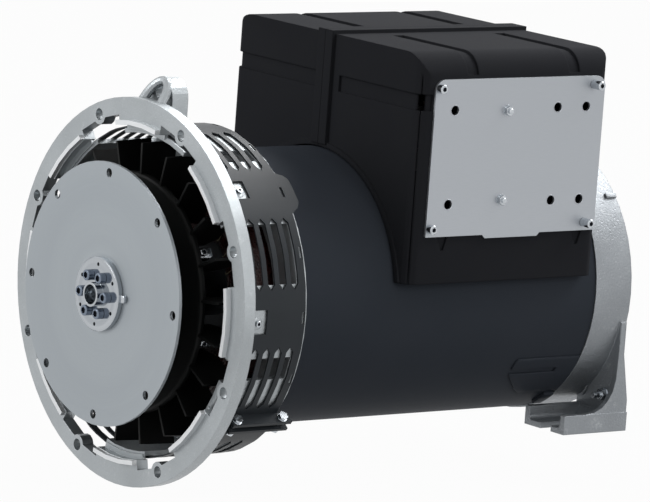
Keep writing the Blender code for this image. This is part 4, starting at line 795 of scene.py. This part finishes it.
@dataclass
class OutletPlate:
    """Fasteners and pressed hole rims of the outlet plate.

    Attributes:
        face: Distance of the plate's outer face from the shaft.
        packing: Thickness of the washers under the nuts; the screw heads stand out as far.
        corners: Place along the shaft, height and head height of each corner screw.
        studs: Place along the shaft and height of each stud.
        holes_along: Places of the gland holes along the shaft.
        holes_up: Their heights.
        hole: Diameter of a gland hole.
        burr: Profile of the burr, as distance from the hole's edge and height over the face.
    """

    face: float = 0.1458
    packing: float = 0.0003
    corners: tuple[Spot, ...] = ((0.228, 0.204, 0.0062), (0.228, 0.0745, 0.0062), (0.410, 0.204, 0.0118),
                                 (0.410, 0.0745, 0.0118))
    studs: tuple[Pair, ...] = ((0.3087, 0.099), (0.3087, 0.182))
    holes_along: Spot = (0.247, 0.3685, 0.4025)
    holes_up: Pair = (0.0965, 0.1835)
    hole: float = 0.009
    burr: tuple[Pair, ...] = ((0.0, -0.0004), (0.0008, 0.0), (0.0005, 0.00022), (0.0001, 0.0001))

    def build(self) -> None:
        """Makes screws, nuts and rims."""
        for k, (y, z, height) in enumerate(self.corners, 1):
            screw = SocketScrew(head=0.0085, height=height, socket=0.004, depth=0.0028, shank=0.0049,
                                reach=0.011)
            seat = Seat.side(self.face + self.packing, y, z)
            screw.build(f"corner_screw_{k}", seat, Body.STATOR, f"plate_screw_{k}")
        for k, (y, z) in enumerate(self.studs, 1):
            nut = HexNut(across=0.0085, height=0.0042, stud=0.0052, stand=0.0022, reach=0.0075)
            seat = Seat.side(self.face + self.packing, y, z)
            nut.build(f"stud_nut_{k}", seat, Body.STATOR, f"plate_stud_{k}")
            washer(f"stud_washer_{k}", Seat.side(self.face, y, z), Body.STATOR, hole=0.0062, outer=0.0105,
                   thick=self.packing)
        for y in self.holes_along:
            for z in self.holes_up:
                self.rim(y, z)

    def rim(self, y: float, z: float) -> None:
        """Makes the low burr that the punch leaves round a gland hole.

        Args:
            y: Place of the hole along the shaft.
            z: Height of the hole.
        """
        profile = [(self.hole / 2 + out, up) for out, up in self.burr]
        name = f"hole_rim_{round(y / MM)}_{round(z / MM)}"
        Shape().ring(Seat.side(self.face, y, z), profile, steps=28).put(name, Finishes.PLATE, Body.STATOR)


@dataclass
class Hub:
    """Screws of the clamp ring, the shaft end in its nose and the locating tab at its rim.

    Attributes:
        face: Place of the clamp ring's front along the shaft.
        lift: Gap between that face and the heads of its screws.
        circle: Radius of the circle of screws.
        screws: Number of screws.
        shaft_front: Place of the shaft's end along the shaft.
        shaft_end: Profile of the shaft's end with its centre hole, as radius and height.
        tab_seat: Radius, angle and place along the shaft of the tab.
        tab: Outline of the tab, outwards and round the shaft.
        tab_thick: Thickness of the tab.
    """

    face: float = -0.0355
    lift: float = 0.0003
    circle: float = 0.01875
    screws: int = 6
    shaft_front: float = -0.0270
    shaft_end: tuple[Pair, ...] = ((0.0079, -0.010), (0.0079, 0.0), (0.0030, 0.0), (0.0012, -0.0050),
                                   (0.0004, -0.0085))
    tab_seat: Spot = (0.0360, 2.5, -0.0305)
    tab: tuple[Pair, ...] = ((-0.0035, -0.0035), (0.0032, -0.0035), (0.0048, -0.0016), (0.0048, 0.0016),
                             (0.0032, 0.0035), (-0.0035, 0.0035))
    tab_thick: float = 0.0030

    def build(self) -> None:
        """Makes the hub's small pieces."""
        screw = SocketScrew(head=0.010, height=0.0064, socket=0.0055, depth=0.0036, shank=0.0058,
                            reach=0.022, soft=0.0008, finish=Finishes.BLUED)
        for k in range(self.screws):
            seat = Seat.end(self.circle, 360.0 * k / self.screws, self.face - self.lift)
            screw.build(f"clamp_screw_{k + 1}", seat, Body.ROTOR, f"hub_screw_{k + 1}")
        centre = Shape().turned(Seat.end(0.0, 0.0, self.shaft_front), self.shaft_end, steps=32)
        centre.put("shaft_centre", Finishes.MACHINED, Body.ROTOR, edge=0.0003)
        tab = Shape().steps(Seat.end(*self.tab_seat), [(self.tab, 0.0), (self.tab, self.tab_thick)])
        tab.put("locating_tab", Finishes.FASTENER, Body.ROTOR, edge=0.0004)


@dataclass
class BalanceWeights:
    """Clip-on weights under the rim of the fan, each with its clamping screw.

    Attributes:
        angles: Angle of each weight round the shaft.
        middle: Radius of the middle of a weight.
        front: Place of its front along the shaft.
        length: Length along the shaft.
        half: Half of its height and width.
        nose: Length of the tapered nose, and the share of the width that is left at its tip.
        tail: Length of the cut rear corners, and the share of the width that is left there.
        screw_at: Distance of the screw from the front.
        edge: Width of its rounded edges.
    """

    angles: Pair = (29.5, -15.5)
    middle: float = 0.1005
    front: float = 0.0033
    length: float = 0.020
    half: float = 0.005
    nose: Pair = (0.0045, 0.45)
    tail: Pair = (0.003, 0.7)
    screw_at: float = 0.0095
    edge: float = 0.0006

    def build(self) -> None:
        """Makes each weight in place of its packed block."""
        h = self.half
        taper, tip = self.nose
        corner, end = self.tail
        outline = [(0.0, -h * tip), (0.0, h * tip), (taper, h), (self.length - corner, h),
                   (self.length, h * end), (self.length, -h * end), (self.length - corner, -h), (taper, -h)]
        screw = SocketScrew(head=0.0075, height=0.0028, socket=0.0038, depth=0.0020, shank=0.004,
                            reach=0.003)
        for k, angle in enumerate(self.angles, 1):
            seat = Seat.radial(angle, self.front, self.middle - self.half)
            body = Shape().steps(seat, [(outline, 0.0), (outline, 2 * h)])
            piece = body.put(f"balance_clip_{k}", Finishes.FASTENER, Body.ROTOR, self.edge, "zinc_fasteners")
            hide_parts(f"balance_weight_{k}")
            top = Seat.radial(angle, self.front + self.screw_at, self.middle + h)
            screw.build(f"balance_screw_{k}", top, Body.ROTOR)


@dataclass
class WindingEnds:
    """Strands and lacing of the stator winding where it comes out of the core.

    Attributes:
        ends: Place of the front and the rear end along the shaft.
        inner: Radius of the innermost strand.
        outer: Radius of the outermost strand.
        strands: Number of strands at each end.
        strand: Radius of a strand.
        wave: Height of a strand's wave along the shaft.
        waves: Number of waves round the shaft.
        shift: Angle, in radians, by which each strand's wave lags the one inside it.
        steps: Number of points round a strand.
        lacings: Number of lacing turns round the shaft.
        lace_circle: Radius of their middles.
        lace_half: Half of the width of a lacing turn.
        lace_rise: Height of a lacing turn over the strands, and its sideways sway.
        lace_steps: Number of lengths that a lacing turn is drawn with.
        cord: Radius of the lacing cord.
    """

    ends: Pair = (0.0462, 0.3838)
    inner: float = 0.0925
    outer: float = 0.1055
    strands: int = 5
    strand: float = 0.0016
    wave: float = 0.0006
    waves: int = 18
    shift: float = 1.2
    steps: int = 96
    lacings: int = 36
    lace_circle: float = 0.0990
    lace_half: float = 0.0085
    lace_rise: float = 0.0012
    lace_steps: int = 8
    cord: float = 0.0005

    def build(self) -> None:
        """Makes the strands and the lacing at both ends of the winding."""
        for label, y, inward in zip(("front", "rear"), self.ends, (-1.0, 1.0)):
            strands = Shape()
            for k in range(self.strands):
                radius = self.inner + (self.outer - self.inner) * k / (self.strands - 1)
                strands.tube(self.loop(radius, y, self.shift * k), self.strand, sides=8, closed=True)
            strands.put(f"winding_strands_{label}", Finishes.WINDING, Body.STATOR, slot="varnished_copper")
            cord = Shape()
            for k in range(self.lacings):
                seat = Seat.end(self.lace_circle, 360.0 * k / self.lacings, y, 1.0)
                cord.tube(self.lace(seat, inward), self.cord, sides=6)
            cord.put(f"winding_lacing_{label}", Finishes.CORD, Body.STATOR)

    def loop(self, radius: float, y: float, shift: float) -> list[Vector]:
        """Draws one strand: a ring that waves a little along the shaft, slot by slot.

        Args:
            radius: Radius of the ring.
            y: Its place along the shaft.
            shift: Angle, in radians, by which its wave lags.

        Returns:
            Its points.
        """
        points = []
        for k in range(self.steps):
            turn = 2 * math.pi * k / self.steps
            wave = math.sin(self.waves * turn + shift)
            points.append(Vector((radius * math.cos(turn), y + self.wave * wave, radius * math.sin(turn))))
        return points

    def lace(self, seat: Seat, inward: float) -> list[Vector]:
        """Draws one lacing turn: half a loop over the strands, with a slight sway.

        Args:
            seat: Its middle, facing along the shaft.
            inward: The side of the seat on which it lies.

        Returns:
            Its points.
        """
        rise = self.lace_rise
        points = []
        for k in range(self.lace_steps + 1):
            turn = math.pi * k / self.lace_steps
            height = inward * (rise + rise * math.sin(turn))
            points.append(seat.at(self.lace_half * math.cos(turn), rise * math.sin(2 * turn), height))
        return points


@dataclass
class StatorPressings:
    """Raised pad with a slot, low on the stator tube beside the rear casting, and the block under it.

    Attributes:
        radius: Outer radius of the tube.
        sunk: How deep both shapes are sunk into the tube.
        rise: Height of the pad over the tube.
        rows: Angle and front edge of the pad's rows.
        slot_row: Row after which the slot is left open.
        slot_end: Rear end of the slot.
        rear: Rear edge of both shapes.
        block: Angle and front edge of the block's rows.
        block_rise: Height of the block over the tube.
        pad_edge: Width of the pad's rounded edges.
        block_edge: Width of the block's rounded edges.
    """

    radius: float = 0.128
    sunk: float = 0.0004
    rise: float = 0.0022
    rows: tuple[Pair, ...] = ((-27.6, 0.3720), (-28.8, 0.3698), (-33.3, 0.3686), (-35.9, 0.3690),
                              (-39.0, 0.3745), (-43.0, 0.3830), (-47.0, 0.3905), (-49.7, 0.3990))
    slot_row: int = 2
    slot_end: float = 0.4232
    rear: float = 0.4468
    block: tuple[Pair, ...] = ((-52.0, 0.4350), (-55.0, 0.4344), (-58.5, 0.4350), (-61.9, 0.4365))
    block_rise: float = 0.0035
    pad_edge: float = 0.0014
    block_edge: float = 0.0010

    def build(self) -> None:
        """Makes the pad and the block on both sides of the tube."""
        for label, side in (("right", 1.0), ("left", -1.0)):
            pad = self.raised(self.rows, self.rise, side, True)
            pad.put(f"tube_pad_{label}", Finishes.PAINT, Body.STATOR, self.pad_edge, "painted_housing")
            block = self.raised(self.block, self.block_rise, side, False)
            block.put(f"tube_block_{label}", Finishes.PAINT, Body.STATOR, self.block_edge, "painted_housing")

    def raised(self, rows: Sequence[Pair], rise: float, side: float, slotted: bool) -> Shape:
        """Draws one closed raised shape on the tube.

        Args:
            rows: Angle and front edge of each row.
            rise: Height over the tube.
            side: 1 for the right side of the tube, -1 for the left.
            slotted: Leaves the slot open.

        Returns:
            The shape.
        """
        shape = Shape()
        grids = []
        for radius in (self.radius - self.sunk, self.radius + rise):
            grid = []
            for angle, front in rows:
                turn = math.radians(angle)
                x, z = side * radius * math.cos(turn), radius * math.sin(turn)
                middle = self.slot_end if slotted else (front + self.rear) / 2
                grid.append([shape.mesh.verts.new((x, y, z)) for y in (front, middle, self.rear)])
            grids.append(grid)
        gap = (self.slot_row, 0) if slotted else (-1, -1)
        cells = {(i, j) for i in range(len(rows) - 1) for j in range(2)} - {gap}
        for i, j in cells:
            for grid in grids:
                shape.mesh.faces.new((grid[i][j], grid[i][j + 1], grid[i + 1][j + 1], grid[i + 1][j]))
            sides = (((i - 1, j), (i, j), (i, j + 1)), ((i + 1, j), (i + 1, j), (i + 1, j + 1)),
                     ((i, j - 1), (i, j), (i + 1, j)), ((i, j + 1), (i, j + 1), (i + 1, j + 1)))
            for beyond, start, stop in sides:
                if beyond not in cells:
                    low, high = grids
                    shape.mesh.faces.new((low[start[0]][start[1]], low[stop[0]][stop[1]],
                                          high[stop[0]][stop[1]], high[start[0]][start[1]]))
        return shape


@dataclass
class ScreenDetails:
    """Bosses behind the sight windows of the screen, and washers under its clamp bolts.

    Attributes:
        wall: Radius of the casting's wall behind the screen.
        sights: Angle and place along the shaft of each sight window.
        boss: Profile of a boss, as radius and height.
        screw_lift: Height of the screw's head over the wall.
        split: Angle at which the screen is split and clamped.
        bolt_radius: Radius of the clamp bolts from the shaft.
        bolts: Their places along the shaft.
        reach: Half of the thickness that a clamp bolt holds.
    """

    wall: float = 0.1495
    sights: tuple[Pair, ...] = ((46.2, 0.0385), (-1.2, 0.0350))
    boss: tuple[Pair, ...] = ((0.0062, -0.0010), (0.0058, 0.0004), (0.0046, 0.0009), (0.0001, 0.0009))
    screw_lift: float = 0.0010
    split: float = -40.0
    bolt_radius: float = 0.15814
    bolts: Pair = (0.0395, 0.090)
    reach: float = 0.0065

    def build(self) -> None:
        """Makes bosses, screws and washers."""
        screw = SocketScrew(head=0.0058, height=0.0030, socket=0.003, depth=0.0018, shank=0.003, reach=0.002,
                            soft=0.0003)
        for k, (angle, y) in enumerate(self.sights, 1):
            for label, turn in (("right", angle), ("left", 180.0 - angle)):
                boss = Shape().turned(Seat.radial(turn, y, self.wall), self.boss)
                boss.put(f"sight_boss_{k}_{label}", Finishes.CAST, Body.STATOR)
                top = Seat.radial(turn, y, self.wall + self.screw_lift)
                screw.build(f"sight_screw_{k}_{label}", top, Body.STATOR)
        for label, turn in (("right", self.split), ("left", 180.0 - self.split)):
            for k, y in enumerate(self.bolts, 1):
                base = Seat.radial(turn, y, self.bolt_radius)
                for way, facing in (("top", 1.0), ("low", -1.0)):
                    under = base.at(0.0, facing * self.reach, 0.0)
                    seat = Seat(under, base.across, base.out, facing * base.up)
                    washer(f"clamp_washer_{label}_{k}_{way}", seat, Body.STATOR, hole=0.0053, outer=0.0100,
                           thick=0.0006)


@dataclass
class Feet:
    """Cast fillets, the ridge and the washer on both feet, and the lug on the bell.

    Attributes:
        outer: Distance of a foot's outer side from the shaft.
        width: Width of a foot.
        web: Thickness of its outer web.
        wall: Thickness of its inner wall.
        floor: Height of the floor of its hollow.
        leg: Place of the leg's front face along the shaft.
        sunk: How deep the fillets are sunk into what they join.
        fillet_start: Place of the inner end of the fillet under the leg, from the wall's face.
        fillet_size: Radius of the fillet under the leg.
        web_front: Front end of the fillet along the web.
        web_size: Radius of that fillet at its front, and how much it gains up to the leg.
        web_steps: Number of lengths that it is drawn with.
        ridge_path: Points of the ridge, as distance from the shaft's upright plane and height.
        ridge_radius: Radius of the ridge.
        ridge_sunk: How far its middle lies inside the leg.
        earth: Place of the earthing stud's washer, sideways and up.
        earth_gap: Gap between that washer and the leg.
        lug_seat: Angle, place along the shaft and radius of the bell's lug.
        lug: Length, half width, depth and height of the lug.
    """

    outer: float = 0.1300
    width: float = 0.058
    web: float = 0.006
    wall: float = 0.0065
    floor: float = -0.1265
    leg: float = 0.4810
    sunk: float = 0.0006
    fillet_start: float = -0.0004
    fillet_size: float = 0.0105
    web_front: float = 0.4300
    web_size: Pair = (0.0022, 0.0075)
    web_steps: int = 8
    ridge_path: tuple[Pair, ...] = ((0.0830, -0.1040), (0.0868, -0.0985), (0.0905, -0.0905),
                                    (0.0958, -0.0820), (0.1010, -0.0730), (0.1062, -0.0640),
                                    (0.1110, -0.0560))
    ridge_radius: float = 0.0016
    ridge_sunk: float = 0.0002
    earth: Pair = (0.1135, -0.0990)
    earth_gap: float = 0.0001
    lug_seat: Spot = (42.5, 0.4765, 0.1305)
    lug: tuple[float, float, float, float] = (0.0125, 0.0026, 0.002, 0.0022)

    def build(self) -> None:
        """Makes the pieces of both feet."""
        for label, side in (("right", 1.0), ("left", -1.0)):
            self.fillet(label, side)
            self.corner(label, side)
            self.ridge(label, side)
        seat = Seat(Vector((self.earth[0], self.leg - self.earth_gap, self.earth[1])), RIGHT, UP, -REAR)
        washer("earth_washer", seat, Body.STATOR, hole=0.0062, outer=0.0125, thick=0.0002)
        length, half, depth, height = self.lug
        outline = [(0.0, -half), (length, -half), (length, half), (0.0, half)]
        lug = Shape().steps(Seat.radial(*self.lug_seat), [(outline, -depth), (outline, height)])
        lug.put("bell_lug", Finishes.REAR_CAST, Body.STATOR, edge=0.0006)

    def hollow(self, size: float, steps: int = 7) -> list[Pair]:
        """Draws the section of a concave fillet: its corner and a quarter circle.

        Args:
            size: Radius of the fillet.
            steps: Number of lengths that the quarter circle is drawn with.

        Returns:
            Its points, as distance from both faces that it joins.
        """
        arc = [(size - size * math.cos(t), size - size * math.sin(t))
               for t in (math.pi / 2 * k / steps for k in range(steps + 1))]
        return [(-self.sunk, -self.sunk), (-self.sunk, size)] + arc + [(size, -self.sunk)]

    def fillet(self, label: str, side: float) -> None:
        """Makes the fillet where the leg plate rises from the pad.

        Args:
            label: Name of the side.
            side: 1 for the right foot, -1 for the left.
        """
        inner = self.outer - self.width + self.wall + self.fillet_start
        ends = (side * inner, side * (self.outer - self.web + self.sunk))
        rings = [[Vector((x, self.leg - u, self.floor + v)) for u, v in self.hollow(self.fillet_size)]
                 for x in ends]
        bead = Shape().loft(rings)
        bead.put(f"foot_fillet_{label}", Finishes.REAR_CAST, Body.STATOR, slot="rear_cast_aluminium")

    def corner(self, label: str, side: float) -> None:
        """Makes the fillet along the inside of the outer web, which swells towards the leg.

        Args:
            label: Name of the side.
            side: 1 for the right foot, -1 for the left.
        """
        wall = self.outer - self.web
        least, gain = self.web_size
        rings = []
        for k in range(self.web_steps + 1):
            share = k / self.web_steps
            y = self.web_front + (self.leg - self.web_front) * share
            size = least + gain * share ** 2
            rings.append([Vector((side * (wall - u), y, self.floor + v)) for u, v in self.hollow(size)])
        bead = Shape().loft(rings)
        bead.put(f"web_fillet_{label}", Finishes.REAR_CAST, Body.STATOR, slot="rear_cast_aluminium")

    def ridge(self, label: str, side: float) -> None:
        """Makes the cast bead that runs from the pad's corner up the leg to the bell.

        Args:
            label: Name of the side.
            side: 1 for the right foot, -1 for the left.
        """
        points = [Vector((side * x, self.leg - self.ridge_sunk, z)) for x, z in self.ridge_path]
        bead = Shape().tube(points, self.ridge_radius, sides=10)
        bead.put(f"leg_ridge_{label}", Finishes.REAR_CAST, Body.STATOR, slot="rear_cast_aluminium")


@dataclass
class RearEnd:
    """Screws of the grille, the bearing cover and washers of the tie rods.

    Attributes:
        face: Place of the rear casting's face along the shaft.
        grille: Place of the grille's face along the shaft.
        screw_circle: Radius of the circle of grille screws.
        screws: Number of grille screws.
        cover: Profile of the bearing cover, as radius and height.
        rods: Radius of the circle of tie rods.
        rod_angle: Angle of the first tie rod.
        rod_count: Number of tie rods.
    """

    face: float = 0.489
    grille: float = 0.4909
    screw_circle: float = 0.0515
    screws: int = 4
    cover: tuple[Pair, ...] = ((0.0300, 0.0), (0.0300, 0.0012), (0.0285, 0.0026), (0.0180, 0.0030),
                               (0.0160, 0.0022), (0.0001, 0.0022))
    rods: float = 0.11925
    rod_angle: float = 45.0
    rod_count: int = 4

    def build(self) -> None:
        """Makes the pieces on the rear face."""
        screw = SocketScrew(head=0.0075, height=0.0030, socket=0.0035, depth=0.0018, shank=0.0035,
                            reach=0.002, soft=0.0004)
        for k in range(self.screws):
            seat = Seat.end(self.screw_circle, 360.0 * k / self.screws, self.grille, 1.0)
            screw.build(f"grille_screw_{k + 1}", seat, Body.STATOR)
        cover = Shape().turned(Seat.end(0.0, 0.0, self.grille, 1.0), self.cover, steps=40)
        cover.put("bearing_cover", Finishes.SCREEN, Body.STATOR, slot="painted_screen")
        for k in range(self.rod_count):
            seat = Seat.end(self.rods, self.rod_angle + 360.0 * k / self.rod_count, self.face, 1.0)
            washer(f"rod_washer_{k + 1}", seat, Body.STATOR, hole=0.0085, outer=0.0150, thick=0.00028)


@dataclass
class BoxDetails:
    """Blind plugs on the left side of the box and the screws that join its halves.

    Attributes:
        left: Place of the box's left side.
        plugs: Place along the shaft and height of each plug.
        plug: Profile of a plug, as radius and height.
        rear: Place of the box's rear side along the shaft.
        screws: Heights of the screws.
        beside: Distance of the screws from the joint.
    """

    left: float = -0.1430
    plugs: tuple[Pair, ...] = ((0.275, 0.140), (0.320, 0.140), (0.365, 0.140))
    plug: tuple[Pair, ...] = ((0.0125, -0.0005), (0.0125, 0.0008), (0.0112, 0.0020), (0.0070, 0.0020),
                              (0.0062, 0.0012), (0.0001, 0.0012))
    rear: float = 0.4353
    screws: Pair = (0.160, 0.215)
    beside: float = 0.0060

    def build(self) -> None:
        """Makes plugs and screws."""
        for k, (y, z) in enumerate(self.plugs, 1):
            plug = Shape().turned(Seat.side(self.left, y, z, -1.0), self.plug, steps=36)
            plug.put(f"blind_plug_{k}", Finishes.BOX, Body.STATOR, slot="moulded_box")
        screw = SocketScrew(head=0.0070, height=0.0030, socket=0.0033, depth=0.0018, shank=0.0035,
                            reach=0.002, soft=0.0004)
        for k, z in enumerate(self.screws, 1):
            for label, x in (("right", self.beside), ("left", -self.beside)):
                seat = Seat(Vector((x, self.rear, z)), RIGHT, UP, REAR)
                screw.build(f"box_screw_{k}_{label}", seat, Body.STATOR)


@dataclass
class Studio:
    """Floor, white surroundings, soft lights and the camera.

    Attributes:
        azimuth: Direction in which the camera stands.
        elevation: Angle at which it looks down.
        roll: Its turn about its own line of sight.
        eye: Its place in the flange frame.
        lens_pixels: Focal length in picture pixels.
        picture_width: Width of the picture in pixels.
        sensor: Width of the camera's sensor in millimetres.
        clip: Nearest and farthest distance that it sees.
        surround: Strength of the fill light from all round.
        floor_size: Width of the floor.
        floor_drop: Gap under the object's lowest point.
        floor_colour: Colour of the floor where light falls on it.
        floor_glow: Share of plain white in what the camera sees of the floor; the rest shows the shadow.
    """

    azimuth: float = 52.09663536657625
    elevation: float = 9.195310023638013
    roll: float = 4.236118266300764
    eye: Spot = (4.22424, -3.06622, 0.89585)
    lens_pixels: float = 5821.6314874922655
    picture_width: float = 650.0
    sensor: float = 36.0
    clip: Pair = (0.1, 50.0)
    surround: float = 0.42
    floor_size: float = 14.0
    floor_drop: float = 0.0005
    floor_colour: str = "7A7A7A"
    floor_glow: float = 0.97

    def build(self) -> None:
        """Makes the whole studio."""
        self.world()
        self.floor()
        self.lights()
        self.camera()

    def background_rays(self, tree: Tree) -> Socket:
        """Finds the share of white: one for camera, glossy and transmission rays, else none.

        Args:
            tree: The node tree of the floor or the world.

        Returns:
            The share.
        """
        path = add_node(tree, "ShaderNodeLightPath")
        seen = add_node(tree, "ShaderNodeMath", {0: path.outputs["Is Camera Ray"],
                                                 1: path.outputs["Is Glossy Ray"]}, operation="MAXIMUM")
        return add_node(tree, "ShaderNodeMath", {0: seen.outputs[0], 1: path.outputs["Is Transmission Ray"]},
                        operation="MAXIMUM").outputs[0]

    def world(self) -> None:
        """White behind the object and in its reflections, and a soft grey fill on it."""
        world = bpy.data.worlds.new("studio")
        bpy.context.scene.world = world
        world.use_nodes = True
        tree = world.node_tree
        tree.nodes.clear()
        seen = self.background_rays(tree)
        fill = add_node(tree, "ShaderNodeBackground", {"Color": srgb("FFFFFF"), "Strength": self.surround})
        white = add_node(tree, "ShaderNodeBackground", {"Color": srgb("FFFFFF"), "Strength": 1.0})
        mix = add_node(tree, "ShaderNodeMixShader", {0: seen, 1: fill.outputs[0], 2: white.outputs[0]})
        add_node(tree, "ShaderNodeOutputWorld", {"Surface": mix.outputs[0]})

    def floor(self) -> None:
        """Pale floor that stays close to white for the camera and keeps a soft shadow."""
        half = self.floor_size / 2
        mesh = bpy.data.meshes.new("floor")
        corners = [(-half, -half, 0.0), (half, -half, 0.0), (half, half, 0.0), (-half, half, 0.0)]
        mesh.from_pydata(corners, [], [(0, 1, 2, 3)])
        item = bpy.data.objects.new("floor", mesh)
        item.location.z = -self.floor_drop
        bpy.context.scene.collection.objects.link(item)
        pale = bpy.data.materials.new("pale_floor")
        pale.use_nodes = True
        tree = pale.node_tree
        tree.nodes.clear()
        part = add_node(tree, "ShaderNodeMath", {0: self.background_rays(tree), 1: self.floor_glow},
                        operation="MULTIPLY")
        lit = add_node(tree, "ShaderNodeBsdfDiffuse", {"Color": srgb(self.floor_colour)})
        glow = add_node(tree, "ShaderNodeEmission", {"Color": srgb("FFFFFF"), "Strength": 1.0})
        mix = add_node(tree, "ShaderNodeMixShader",
                       {0: part.outputs[0], 1: lit.outputs[0], 2: glow.outputs[0]})
        add_node(tree, "ShaderNodeOutputMaterial", {"Surface": mix.outputs[0]})
        mesh.materials.append(pale)

    def lamp(self, name: str, place: Spot, target: Spot, size: Pair, power: float) -> None:
        """Adds one soft rectangular lamp.

        Args:
            name: Name of the lamp.
            place: Where it stands, in the flange frame.
            target: The point it faces.
            size: Width and height.
            power: Power in watts.
        """
        data = bpy.data.lights.new(name, "AREA")
        data.shape = "RECTANGLE"
        data.size, data.size_y = size
        data.energy = power
        item = bpy.data.objects.new(name, data)
        item.location = Vector(place) + ORIGIN
        item.rotation_mode = "QUATERNION"
        item.rotation_quaternion = (Vector(target) - Vector(place)).to_track_quat("-Z", "Y")
        bpy.context.scene.collection.objects.link(item)

    def lights(self) -> None:
        """Large panel above and behind, a key from the front left and a low fill from the right."""
        self.lamp("rear_panel", place=(-0.35, 2.3, 2.35), target=(0.0, 0.2, 0.1), size=(3.6, 1.7),
                  power=120.0)
        self.lamp("front_key", place=(-1.6, -3.0, 1.3), target=(0.0, 0.1, 0.0), size=(1.6, 1.6), power=50.0)
        self.lamp("side_fill", place=(3.0, 0.6, 0.9), target=(0.0, 0.2, 0.0), size=(1.4, 1.4), power=18.0)

    def camera(self) -> None:
        """Camera at the photograph's angle and distance."""
        az, el, roll = (math.radians(v) for v in (self.azimuth, self.elevation, self.roll))
        right = Vector((math.cos(az), math.sin(az), 0.0))
        ahead = Vector((-math.sin(az) * math.cos(el), math.cos(az) * math.cos(el), -math.sin(el)))
        up = right.cross(ahead)
        across = math.cos(roll) * right + math.sin(roll) * up
        top = math.cos(roll) * up - math.sin(roll) * right
        data = bpy.data.cameras.new("camera")
        data.sensor_width = self.sensor
        data.lens = self.lens_pixels * self.sensor / self.picture_width
        data.clip_start, data.clip_end = self.clip
        item = bpy.data.objects.new("camera", data)
        turn = Matrix((across, top, -ahead)).transposed().to_4x4()
        item.matrix_world = Matrix.Translation(Vector(self.eye) + ORIGIN) @ turn
        bpy.context.scene.collection.objects.link(item)
        bpy.context.scene.camera = item


SKINS = (
    Skin("stator_housing"), Skin("terminal_box_right"), Skin("terminal_box_left"),
    Skin("rear_shield", pockets=FOOT_POCKETS), Skin("front_shield", turned=SPIGOT_HIGHLIGHT_ZONE), Skin("vent_screen"),
    Skin("screen_lower_panel"), Skin("cooling_fan"), Skin("clamp_ring"), Skin("coupling_hub"),
    Skin("drive_disc"), Skin("outlet_plate"), Skin("inlet_grille"), Skin("shaft"), Skin("stator_core"),
    Skin("stator_winding"), Skin("box_saddle"),
)


def main() -> None:
    """Builds the dressed object and its studio."""
    logging.basicConfig(level=logging.INFO, format="%(message)s")
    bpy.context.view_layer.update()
    bpy.context.scene.view_settings.view_transform = "Standard"
    dress_frame()
    for skin in SKINS:
        skin.build()
    for group in (OutletPlate(), Hub(), BalanceWeights(), WindingEnds(), StatorPressings(), ScreenDetails(),
                  Feet(), RearEnd(), BoxDetails()):
        LOG.info("group %s", type(group).__name__)
        group.build()
    Studio().build()


if __name__ == "__main__":
    main()
